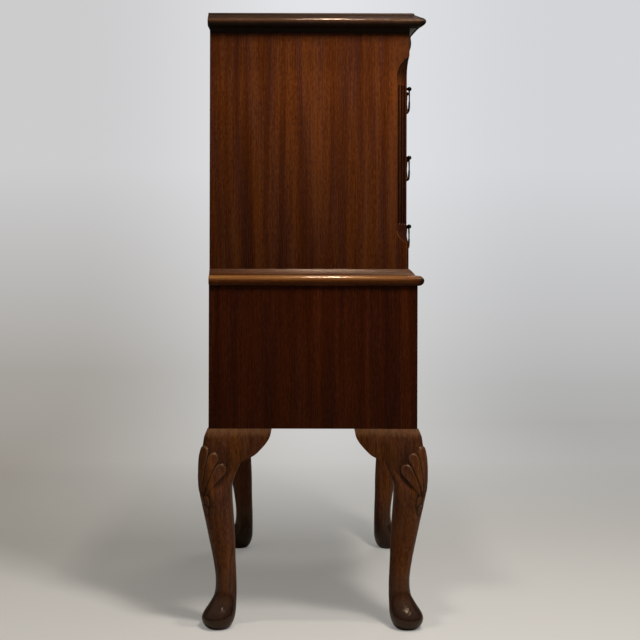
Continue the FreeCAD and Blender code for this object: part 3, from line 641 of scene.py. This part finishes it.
RAIL_DEEP = 70.0
upper_levels = [(UPPER_FOOT, 826.5), (970.5, 986.5), (1130.5, 1146.5)]
lower_levels = [(LEG_TOP, 461.0), (599.75, 615.75), (754.5, WAIST)]
upper_rails = rail_parts(UPPER_OPENING, -SETBACK, CORNER_Y + RAIL_DEEP, upper_levels)
lower_rails = rail_parts(LOWER_OPENING, 0.0, FRONT + RAIL_DEEP, lower_levels)
piece("upper_rail_set", upper_rails, front_veneer, ["upper_rails"])
piece("lower_rail_set", lower_rails, front_veneer, ["lower_rails"])
corner_posts = []
for x0, x1 in ((-HALF, -LOWER_OPENING), (LOWER_OPENING, HALF)):
    corner_posts.append(fronted(x0, x1, 0.0, FRONT + 40.0, LEG_TOP, WAIST, 10))
piece("lower_corner_posts", corner_posts, low_veneer, ["lower_posts"], bevel=0.9)


# Cabriole legs with carved shell knees

BULGE = 24.0
BLOCK = 73.0
# Rows down the leg: share of its height, outer edge in bulges, inner edge in blocks, roundness of the crest
# and of the other corners, fall towards the brackets, and share of the front's curve
LEG_ROWS = [
    (1.000, 0.10, 1.000, 0.10, 0.03, 0.05, 1.00),
    (0.965, 0.38, 1.000, 0.28, 0.03, 0.17, 1.00),
    (0.918, 0.68, 1.000, 0.45, 0.03, 0.30, 1.00),
    (0.875, 0.88, 1.000, 0.55, 0.04, 0.40, 1.00),
    (0.835, 0.97, 0.975, 0.60, 0.10, 0.44, 0.95),
    (0.785, 1.00, 0.860, 0.62, 0.32, 0.35, 0.75),
    (0.727, 0.96, 0.725, 0.68, 0.55, 0.20, 0.40),
    (0.667, 0.83, 0.712, 0.78, 0.72, 0.08, 0.12),
    (0.580, 0.50, 0.745, 0.88, 0.86, 0.02, 0.00),
    (0.457, 0.07, 0.790, 0.97, 0.97, 0.00, 0.00),
    (0.335, -0.36, 0.805, 0.97, 0.97, 0.00, 0.00),
    (0.235, -0.58, 0.829, 0.97, 0.97, 0.00, 0.00),
    (0.160, -0.47, 0.835, 0.97, 0.97, 0.00, 0.00),
    (0.115, -0.02, 0.830, 0.97, 0.97, 0.00, 0.00),
    (0.080, 0.44, 0.822, 0.97, 0.97, 0.00, 0.00),
    (0.050, 0.65, 0.790, 0.97, 0.97, 0.00, 0.00),
    (0.018, 0.44, 0.710, 0.97, 0.97, 0.00, 0.00),
    (0.000, 0.10, 0.610, 0.97, 0.97, 0.00, 0.00),
]


def eased(rows, key):
    """Values of a table at a key that falls down the first column, on a smooth curve through its rows."""
    i = 0
    while i < len(rows) - 2 and key < rows[i + 1][0]:
        i += 1
    low, high = rows[i], rows[i + 1]
    before = rows[max(i - 1, 0)]
    after = rows[min(i + 2, len(rows) - 1)]
    step = high[0] - low[0]
    t = (key - low[0]) / step
    values = []
    for j in range(1, len(low)):
        m0 = (high[j] - before[j]) / (high[0] - before[0]) * step
        m1 = (after[j] - low[j]) / (after[0] - low[0]) * step
        a = 2 * t**3 - 3 * t**2 + 1
        b = t**3 - 2 * t**2 + t
        c = 3 * t**2 - 2 * t**3
        d = t**3 - t**2
        values.append(a * low[j] + b * m0 + c * high[j] + d * m1)
    return values


SHELL_FOOT = 290.0
SHELL_DEEP = 3.4
# Lobes of the shell: their edges in degrees from the crest, and their reach from the shell's foot
SHELL_EDGE = 44.5
SHELL_REACH = 121.0
LOBES = [(-SHELL_EDGE, -24.5, 96.0), (-24.5, -9.2, 110.0), (-9.2, 9.2, SHELL_REACH)]
LOBES += [(9.2, 24.5, 110.0), (24.5, SHELL_EDGE, 96.0)]
# Husks under the shell: distance round from the crest, level, half width and half height
HUSKS = [(-8.2, 290.0, 8.0, 15.0), (8.2, 290.0, 8.0, 15.0), (0.0, 269.0, 7.0, 12.0)]


def lobe(angle, reach, low, high, length):
    """How proud one lobe of the shell is, its worn and lit rim, and the painted shade at its edge."""
    half = math.radians((high - low) / 2)
    across = math.radians(angle - (low + high) / 2) * reach
    end_radius = half * length / (1 + half)
    end_centre = length - end_radius
    if reach > end_centre:
        inside = end_radius - math.hypot(across, reach - end_centre)
    else:
        inside = half * reach - abs(across)
    wall = smooth_step(-0.2, 1.6, inside)
    share = min(1.0, inside / max(half * min(reach, end_centre), 0.1))
    # A rolled rim round a shallow scoop that dies out towards the foot of the shell
    dish = 1.1 * smooth_step(0.25, 0.8, share) * smooth_step(35, 85, reach)
    rise = wall * (SHELL_DEEP - 0.5 * (1 - share) ** 2) - dish
    return rise, wall * (1 - smooth_step(0.12, 0.4, share)), 1 - smooth_step(0.0, 2.2, inside)


def husk(s, z, middle, level, half_width, half_height):
    """How proud one round husk is, its worn and lit rim, and the painted shade at its edge."""
    inside = 1 - math.hypot((s - middle) / half_width, (z - level) / half_height)
    if inside <= 0:
        return 0.0, 0.0, 0.0
    rise = SHELL_DEEP * smooth_step(0.0, 0.5, inside) - 0.8 * smooth_step(0.6, 1.0, inside)
    rim = smooth_step(0.1, 0.3, inside) * (1 - smooth_step(0.35, 0.6, inside))
    return rise, rim, 1 - smooth_step(0.0, 0.3, inside)


def carving(s, z):
    """Depth cut below the knee, worn and lit rim, painted shade and how proud the carving is, at s round
    from the crest.
    """
    dz = z - SHELL_FOOT
    reach = math.hypot(s, dz)
    angle = math.degrees(math.atan2(s, dz))
    forms = [lobe(angle, reach, *edges) for edges in LOBES] if dz > 8 else []
    forms += [husk(s, z, *place) for place in HUSKS]
    proud, rim, groove = max(forms, key=lambda form: form[0])
    # The ground round the carving is sunk and eases out to the plain knee
    beside = math.radians(max(0.0, abs(angle) - SHELL_EDGE)) * reach
    beyond = max(0.0, reach - (SHELL_REACH - 0.62 * min(abs(angle), SHELL_EDGE)))
    fan = (1 - smooth_step(3, 24, math.hypot(beside, beyond))) * smooth_step(6, 36, dz)
    strip_half = 6 + 9 * smooth_step(-32, -8, dz)
    strip = (1 - smooth_step(strip_half, strip_half + 9, abs(s))) * smooth_step(-42, -30, dz)
    ground = max(fan, strip * (1 - smooth_step(20, 44, dz)))
    # The sunk ground round the carving is painted dark as shade
    if proud <= 0.0:
        proud, rim, groove = 0.0, 0.0, 0.6 * smooth_step(0.8, 1.0, ground)
    return max(0.0, SHELL_DEEP * ground - proud), rim, groove, proud / SHELL_DEEP


def recess(inboard, follows):
    return front_y(HALF - inboard, 0) - FRONT if follows else 0.0


CREST_STEPS = 36


def leg_ring(share, follows):
    """One level of the left front leg: points, with the direction outwards at each."""
    outer, inner, crest, rounding, fall, follow = eased(LEG_ROWS, share)
    out = outer * BULGE
    inboard = inner * BLOCK
    half = (out + inboard) / 2
    rc, rr = crest * half, max(rounding * half, 0.8)
    side = fall * BULGE - out
    front = side + follow * recess(BLOCK, follows)
    circles = [
        (rc - out, rc - out, rc),
        (inboard - rr, rr + front, rr),
        (inboard - rr, inboard - rr, rr),
        (rr + side, inboard - rr, rr),
    ]
    normals = []
    for (ax, ay, ar), (bx, by, br) in zip(circles, circles[1:] + circles[:1]):
        lean = math.asin(max(-1, min(1, (ar - br) / math.hypot(bx - ax, by - ay))))
        normals.append(math.atan2(by - ay, bx - ax) - math.pi / 2 + lean)
    outline = []
    for i, (cx, cy, r) in enumerate(circles):
        start, end = normals[i - 1], normals[i]
        while end <= start:
            end += 2 * math.pi
        for a in spread(start, end, CREST_STEPS if i == 0 else 7):
            outline.append((cx + r * math.cos(a), cy + r * math.sin(a), math.cos(a), math.sin(a)))
        nx, ny, nr = circles[(i + 1) % 4]
        tail_x, tail_y = outline[-1][:2]
        head_x, head_y = nx + nr * math.cos(end), ny + nr * math.sin(end)
        for t in spread(0, 1, 34 if i in (0, 3) else 6)[1:-1]:
            x, y = tail_x + (head_x - tail_x) * t, tail_y + (head_y - tail_y) * t
            outline.append((x, y, math.cos(end), math.sin(end)))
    return outline


def leg_mesh(follows):
    """The left front leg with its relief cut in, and its marks of wear, painted sheen and painted shade."""
    rings = []
    wear, grime = [], []
    for share in spread(1.0, 0.955, 8) + spread(0.95, 0.55, 150) + spread(0.54, 0.0, 60):
        outline = leg_ring(share, follows)
        z = share * LEG_TOP
        lengths = [0.0]
        for a, b in zip(outline, outline[1:] + outline[:1]):
            lengths.append(lengths[-1] + math.hypot(b[0] - a[0], b[1] - a[1]))
        around = lengths.pop()
        # The top band of the leg is painted lighter, as sheen where light falls on its bulge
        top = smooth_step(0.95, 0.99, share)
        ring = []
        for (x, y, nx, ny), run in zip(outline, lengths):
            s = run - lengths[CREST_STEPS // 2]
            if s > around / 2:
                s -= around
            sunk, rim, groove, raised = 0.0, 0.0, 0.0, 0.0
            if 235 < z < 432 and abs(s) < 85:
                sunk, rim, groove, raised = carving(s, z)
            # The shell's rims are worn and painted lighter as lit; its grooves, sunk ground and the plain
            # knee above it are painted dark as shade
            wear.append(min(1.0, 0.5 * rim + 0.5 * top))
            knee = 0.38 * smooth_step(320, 385, z) * (1 - raised) * (1 - top)
            grime.append(max(0.9 * groove * (1 - 0.6 * rim), knee))
            ring.append((x - sunk * nx - HALF, y - sunk * ny + FRONT, z))
        rings.append(ring)
    return *lofted(rings), {"wear": wear, "grime": grime}


def to_corner(points, right, back):
    return [(-x if right else x, -y if back else y, z) for x, y, z in points]


for back, depth_name in ((False, "front"), (True, "back")):
    points, faces, marks = leg_mesh(not back)
    for right, side_name in ((False, "left"), (True, "right")):
        part = (to_corner(points, right, back), faces)
        name = f"{depth_name}_{side_name}"
        piece(f"cabriole_{name}", [part], leg_wood, [f"leg_{name}"], sharp=50.0, marks=marks)


# Knee brackets, running out from each leg along the side and the front

BRACKET_REACH = 66.5
BRACKET_DROP = 73.0
BRACKET_THICK = 30.0
# Rows from the leg outwards: share of the reach, depth and swelling
BRACKET_ROWS = [
    (0.00, 1.00, 1.00),
    (-0.17, 0.92, 0.85),
    (-0.45, 0.79, 0.62),
    (-0.63, 0.64, 0.46),
    (-0.80, 0.47, 0.30),
    (-0.90, 0.34, 0.19),
    (-0.97, 0.20, 0.11),
    (-1.00, 0.06, 0.06),
]


def bracket_part(follows, on_front):
    rings = []
    for reach in spread(0, 1, 26):
        depth, swelling = eased(BRACKET_ROWS, -reach)
        inboard = BLOCK + reach * BRACKET_REACH
        drop = max(depth, 0.02) * BRACKET_DROP
        section = []
        for t in spread(0, 1, 12):
            section.append((-swelling * BULGE * (0.05 + 0.84 * t - 0.36 * t * t), LEG_TOP - drop * t))
        section += [(BRACKET_THICK, LEG_TOP - drop), (BRACKET_THICK, LEG_TOP)]
        if on_front:
            curve = recess(inboard, follows)
            rings.append([(inboard - HALF, curve + depth_in + FRONT, z) for depth_in, z in section])
        else:
            rings.append([(depth_in - HALF, inboard + FRONT, z) for depth_in, z in section])
    return lofted(rings)


brackets = []
for back in (False, True):
    for on_front in (False, True):
        points, faces = bracket_part(on_front and not back, on_front)
        for right in (False, True):
            brackets.append((to_corner(points, right, back), faces))
heights = [z for points, faces in brackets for x, y, z in points]
# Painted sheen on the top band of each bracket where light falls, and painted shade below it
wear = [0.6 * smooth_step(424, 444, z) for z in heights]
grime = [0.38 * (1 - smooth_step(424, 440, z)) for z in heights]
marks = {"wear": wear, "grime": grime}
nodes = ["knee_brackets"]
piece("bracket_set", brackets, leg_wood, nodes, sharp=40.0, bevel=0.6, marks=marks)


# Drawers and handles

HANDLE_X = 0.54 * HALF
POST_X = 45.0
PIVOT_OUT = 21.0
BAIL_DROP = 48.5


def ring_about(x, z, radius, count):
    """Points of a circle in the upright plane across the chest, as (x, z)."""
    turns = [2 * math.pi * k / count for k in range(count)]
    return [(x + radius * math.cos(a), z + radius * math.sin(a)) for a in turns]


def lathe(profile, x, y, z, slant):
    """A turned part on a fore-and-aft axis, from (depth, radius) pairs, its seat slanted to the front."""
    rings = []
    for depth, radius in profile:
        lean = slant * min(1.0, max(0.0, depth / PIVOT_OUT))
        rings.append([(px, y + depth + lean * (px - x), pz) for px, pz in ring_about(x, z, radius, 28)])
    return lofted(rings)


# Rosette and waisted stem of a handle post: distance before the seat, and radius
ROSETTE = [(0.0, 11.9), (0.9, 12.0), (1.5, 11.4), (1.9, 9.6), (1.6, 8.6)]
STEM = [(2.2, 7.4), (3.4, 5.6), (4.6, 4.1), (6.5, 3.2), (9.0, 2.8), (11.0, 2.7)]
STEM += [(12.5, 3.2), (13.2, 4.0), (13.9, 3.3)]
HEAD_DEEP = 5.2
HEAD_R = 5.15


def post_part(x, offset, pivot_y, z):
    """Rosette, waisted stem and round head of a handle post."""
    left, right = front_y(x - 12, offset), front_y(x + 12, offset)
    seat = (left + right) / 2 - pivot_y
    profile = [(seat - out, radius) for out, radius in ROSETTE + STEM]
    for a in spread(52, -78, 9):
        profile.append((HEAD_DEEP * math.sin(math.radians(a)), HEAD_R * math.cos(math.radians(a))))
    return lathe(profile, x, pivot_y, z, (right - left) / 24)


def bail_part(x, pivot_y, z):
    """A swan-neck bail: a round rod that thickens towards the grip."""
    turn = math.radians(30)
    neck_half, neck_r = 37.0, 20.0
    loop_r = (BAIL_DROP - neck_r * math.sin(turn)) / (1 + math.sin(turn))
    neck_x = neck_half + neck_r
    loop_x = neck_x - (neck_r + loop_r) * math.cos(turn)
    loop_z = loop_r - BAIL_DROP
    right = [(46.0, 0.0), (43.0, 0.0), (40.6, -0.2), (38.6, -1.4), (37.6, -3.4)]
    neck = spread(math.radians(16), turn, 4)
    right += [(neck_x - neck_r * math.cos(a), -neck_r * math.sin(a)) for a in neck]
    loop = spread(turn, -math.pi / 2, 20)[1:]
    right += [(loop_x + loop_r * math.cos(a), loop_z + loop_r * math.sin(a)) for a in loop]
    path = right + [(-u, w) for u, w in reversed(right)]
    rings = []
    for i, (u, w) in enumerate(path):
        before, after = path[max(i - 1, 0)], path[min(i + 1, len(path) - 1)]
        du, dw = after[0] - before[0], after[1] - before[1]
        length = math.hypot(du, dw)
        du, dw = du / length, dw / length
        radius = 1.75 if abs(u) > 42 else 2.1 + 0.6 * smooth_step(20, 46, -w)
        around = ring_about(0.0, 0.0, radius, 14)
        rings.append([(x + u - dw * out, pivot_y + 0.9 * deep, z + w + du * out) for out, deep in around])
    return lofted(rings)


BEAD_R = 1.6


def bead_tree():
    """A small bead along a path: its radius and material are inputs."""
    tree = bpy.data.node_groups.new("cock_bead", "GeometryNodeTree")
    tree.interface.new_socket("Path", in_out="INPUT", socket_type="NodeSocketGeometry")
    radius = tree.interface.new_socket("Radius", in_out="INPUT", socket_type="NodeSocketFloat")
    finish = tree.interface.new_socket("Finish", in_out="INPUT", socket_type="NodeSocketMaterial")
    radius.default_value = BEAD_R * MM
    finish.default_value = front_veneer
    tree.interface.new_socket("Bead", in_out="OUTPUT", socket_type="NodeSocketGeometry")
    given = tree.nodes.new("NodeGroupInput").outputs
    curve = node(tree, "GeometryNodeMeshToCurve", {0: given["Path"]})
    ring = node(tree, "GeometryNodeCurvePrimitiveCircle", {"Resolution": 10, "Radius": given["Radius"]})
    swept = node(tree, "GeometryNodeCurveToMesh", {0: curve, "Profile Curve": ring})
    smooth = node(tree, "GeometryNodeSetShadeSmooth", {0: swept})
    real = node(tree, "GeometryNodeRealizeInstances", {0: smooth})
    named = node(tree, "GeometryNodeSetMaterial", {0: real, "Material": given["Finish"]})
    give(tree.nodes.new("NodeGroupOutput"), {0: named})
    return tree


def grown(name, mesh, tree, body):
    """The plain mesh that a node tree makes of a guide mesh, as a finished piece."""
    guide = placed(f"{name}_guide", mesh)
    growth = guide.modifiers.new("growth", "NODES")
    growth.node_group = tree
    view = bpy.context.evaluated_depsgraph_get()
    view.update()
    made_mesh = bpy.data.meshes.new_from_object(guide.evaluated_get(view), depsgraph=view)
    made_mesh.name = name
    bpy.data.objects.remove(guide)
    made = placed(name, made_mesh)
    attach(made, body)


beads = bead_tree()
BEAD_INSET = 1.4
# Drawers from the top: half width of the opening, offset of the front, floor and height
DRAWERS = [
    (UPPER_OPENING, -SETBACK, 1146.5, 144.0),
    (UPPER_OPENING, -SETBACK, 986.5, 144.0),
    (UPPER_OPENING, -SETBACK, 826.5, 144.0),
    (LOWER_OPENING, 0.0, 615.75, 138.75),
    (LOWER_OPENING, 0.0, 461.0, 138.75),
]
for number, (opening, offset, floor_z, height) in enumerate(DRAWERS, 1):
    drawer = f"drawer_{number}"
    half = opening - 1.0
    foot, head = floor_z + 0.3, floor_z + height - 1.0
    section = [(offset, foot), (offset, head), (offset - FRONT_THICK, head), (offset - FRONT_THICK, foot)]
    name = f"{drawer}_veneered_front"
    part = bent(-half, half, section)
    piece(name, [part], front_veneer, [f"{drawer}_front"], body=drawer, bevel=0.6)
    # The cock bead runs round the edge of the front
    run = spread(-half + BEAD_INSET, half - BEAD_INSET, 72)
    path = [(x, front_y(x, offset), foot + BEAD_INSET) for x in run]
    path += [(x, y, head - BEAD_INSET) for x, y, z in reversed(path)]
    guide = bpy.data.meshes.new(f"{drawer}_bead_path")
    edges = [(i, (i + 1) % len(path)) for i in range(len(path))]
    guide.from_pydata([(x * MM, y * MM, z * MM) for x, y, z in path], edges, [])
    grown(f"{drawer}_cock_bead", guide, beads, drawer)
    # Two handles, each a bail between two posts
    z = floor_z + height / 2
    posts = []
    for side, side_name in ((-1, "left"), (1, "right")):
        x = side * HANDLE_X
        pivot_y = front_y(x, offset) - PIVOT_OUT
        posts += [post_part(x + hand * POST_X, offset, pivot_y, z) for hand in (-1, 1)]
        bail = f"{drawer}_bail_{side_name}"
        part = bail_part(x, pivot_y, z)
        marks = {"wear": [0.7 * smooth_step(-30, -46, p[2] - z) for p in part[0]]}
        piece(f"{bail}_cast", [part], brass, [bail], body=bail, sharp=60.0, marks=marks)
    piece(f"{drawer}_cast_posts", posts, brass, [f"{drawer}_handle_posts"], body=drawer, sharp=50.0)


# Finishes of the CAD pieces that show as they are
for name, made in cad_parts.items():
    if name.startswith("upper_side"):
        finish = side_veneer
    elif name.startswith("lower_side"):
        finish = low_veneer
    elif name.endswith("_back"):
        finish = back_wood
    elif name.endswith(("_box", "runners")):
        finish = box_wood
    else:
        finish = wide_wood
    if not made.hide_render:
        for slot in made.material_slots:
            slot.material = finish


# Floor, wall, lamps and camera

WALL_X = 3.3
WALL_HEAD = 8.0
SWEEP_R = 0.45
SWEEP_HALF = 12.0


def sweep_mesh():
    """A paper sweep in metres: floor, a curved foot behind the object and an upright wall."""
    line = [(-SWEEP_HALF, 0.0), (WALL_X - SWEEP_R, 0.0)]
    for a in spread(-math.pi / 2, 0, 16)[1:]:
        line.append((WALL_X - SWEEP_R + SWEEP_R * math.cos(a), SWEEP_R + SWEEP_R * math.sin(a)))
    line.append((WALL_X, WALL_HEAD))
    points = [(x, y, z) for x, z in line for y in (-SWEEP_HALF, SWEEP_HALF)]
    faces = [(2 * i, 2 * i + 1, 2 * i + 3, 2 * i + 2) for i in range(len(line) - 1)]
    mesh = bpy.data.meshes.new("studio_sweep")
    mesh.from_pydata(points, [], faces)
    mesh.polygons.foreach_set("use_smooth", [True] * len(mesh.polygons))
    return mesh


# Painted light and shade of the paper along its run over the floor and up the wall: share of the run and
# colour
MIDDLE = [(0.015, "#cfcdc9"), (0.14, "#bbbab6"), (0.415, "#cecdcb"), (0.62, "#d2d2d2"), (0.78, "#e5e6e9")]
LEFT = [(0.015, "#cac5bc"), (0.12, "#a59f91"), (0.29, "#99938a"), (0.6, "#a5a19b"), (0.78, "#cccccd")]
RIGHT = [(0.015, "#cfcdc9"), (0.17, "#b1b0ad"), (0.5, "#acaba9"), (0.585, "#b2b2b1"), (0.78, "#d3d4d7")]


def sweep_paper():
    """Matt grey paper. To the eye it shows painted light and shade, brightest behind the object and darker
    to the sides: fully beyond the shadow, and a third of it over the lit paper near the object, which lifts
    the shadow.
    """
    material, tree, shader = blank("matt_backdrop_paper")
    place = node(tree, "ShaderNodeTexCoord", out="Object")
    along, across, height = node(tree, "ShaderNodeSeparateXYZ", {0: place}).node.outputs
    # One run from half a metre before the middle of the object, over the floor and up the wall
    floor_run = node(tree, "ShaderNodeMapRange", {0: along, 1: -0.5, 2: WALL_X, 3: 0.0, 4: 0.585})
    wall_run = node(tree, "ShaderNodeMapRange", {0: height, 1: 0.0, 2: 2.7, 3: 0.0, 4: 0.415})
    run = node(tree, "ShaderNodeMath", {0: floor_run, 1: wall_run})
    seen = node(tree, "ShaderNodeValToRGB", {0: run}, MIDDLE)
    for stops, side in ((LEFT, 1), (RIGHT, -1)):
        tone = node(tree, "ShaderNodeValToRGB", {0: run}, stops)
        links = {0: across, 1: -0.2 * side, 2: 1.3 * side}
        aside = node(tree, "ShaderNodeMapRange", links, interpolation_type="SMOOTHSTEP")
        seen = node(tree, "ShaderNodeMix", {0: aside, 6: seen, 7: tone}, out=2, data_type="RGBA")
    glow = node(tree, "ShaderNodeEmission", {"Color": seen, "Strength": 1.0})
    # The eye sees a pale paper, and what it throws back on the object is weaker
    eye = node(tree, "ShaderNodeLightPath", out="Is Camera Ray")
    links = {0: eye, 6: colour("#a8a59f"), 7: colour("#e0ddd8")}
    paper = node(tree, "ShaderNodeMix", links, out=2, data_type="RGBA")
    give(shader, {"Base Color": paper, "Roughness": 0.85})
    beyond = node(tree, "ShaderNodeMapRange", {0: along, 1: 0.4, 2: 1.7, 3: 0.34, 4: 1.0})
    share = node(tree, "ShaderNodeMath", {0: eye, 1: beyond}, operation="MULTIPLY")
    chosen = node(tree, "ShaderNodeMixShader", {0: share, 1: shader.outputs[0], 2: glow})
    give(tree.nodes["Material Output"], {0: chosen})
    return material


sweep = placed("studio_sweep", sweep_mesh())
sweep.data.materials.append(sweep_paper())

world = bpy.data.worlds.new("studio")
bpy.context.scene.world = world
world.use_nodes = True
sky = world.node_tree
# The room is dark at eye level and paler above
direction = node(sky, "ShaderNodeTexCoord", out="Generated")
height = node(sky, "ShaderNodeSeparateXYZ", {0: direction}, out=2)
brightness = node(sky, "ShaderNodeMapRange", {0: height, 1: 0.0, 2: 0.8, 3: 0.05, 4: 0.35})
room = node(sky, "ShaderNodeBackground", {"Color": colour("#e6e2dc"), "Strength": brightness})
seen = node(sky, "ShaderNodeBackground", {"Color": colour("#cbcbcd"), "Strength": 1.0})
eye = node(sky, "ShaderNodeLightPath", out="Is Camera Ray")
chosen = node(sky, "ShaderNodeMixShader", {0: eye, 1: room, 2: seen})
give(sky.nodes["World Output"], {0: chosen})


def lamp(name, place, target, size, watts, hex_text="#ffffff"):
    data = bpy.data.lights.new(name, "AREA")
    data.shape = "RECTANGLE"
    data.size, data.size_y = size
    data.energy = watts
    data.color = colour(hex_text)[:3]
    made = placed(name, data)
    made.location = place
    made.rotation_euler = (Vector(target) - Vector(place)).to_track_quat("-Z", "Y").to_euler()
    made.visible_camera = False


lamp("key_softbox", (-1.2, -0.66, 2.2), (-0.35, -0.05, 0.85), (0.3, 0.5), 28, "#fffaf2")
lamp("small_lamp", (-0.66, -0.05, 2.35), (-0.4, -0.05, 0.8), (0.09, 0.09), 10, "#fff6ea")
lamp("backdrop_lamp", (1.6, -0.6, 2.9), (1.4, -0.6, 0.0), (0.8, 0.8), 13)

EYE = (-3.044, -0.0061, 0.855)
TILT = math.radians(0.13)
camera = placed("photo_camera", bpy.data.cameras.new("photo_camera"))
camera.data.lens = 67.5
camera.data.sensor_width = 36.0
camera.data.shift_x = 0.00604
camera.data.shift_y = -0.1172
camera.data.clip_end = 60.0
facing_side = Matrix.Rotation(-math.pi / 2, 4, "Z") @ Matrix.Rotation(math.pi / 2, 4, "X")
camera.matrix_world = Matrix.Translation(EYE) @ facing_side @ Matrix.Rotation(TILT, 4, "Z")
bpy.context.scene.camera = camera
bpy.context.scene.view_settings.view_transform = "Standard"
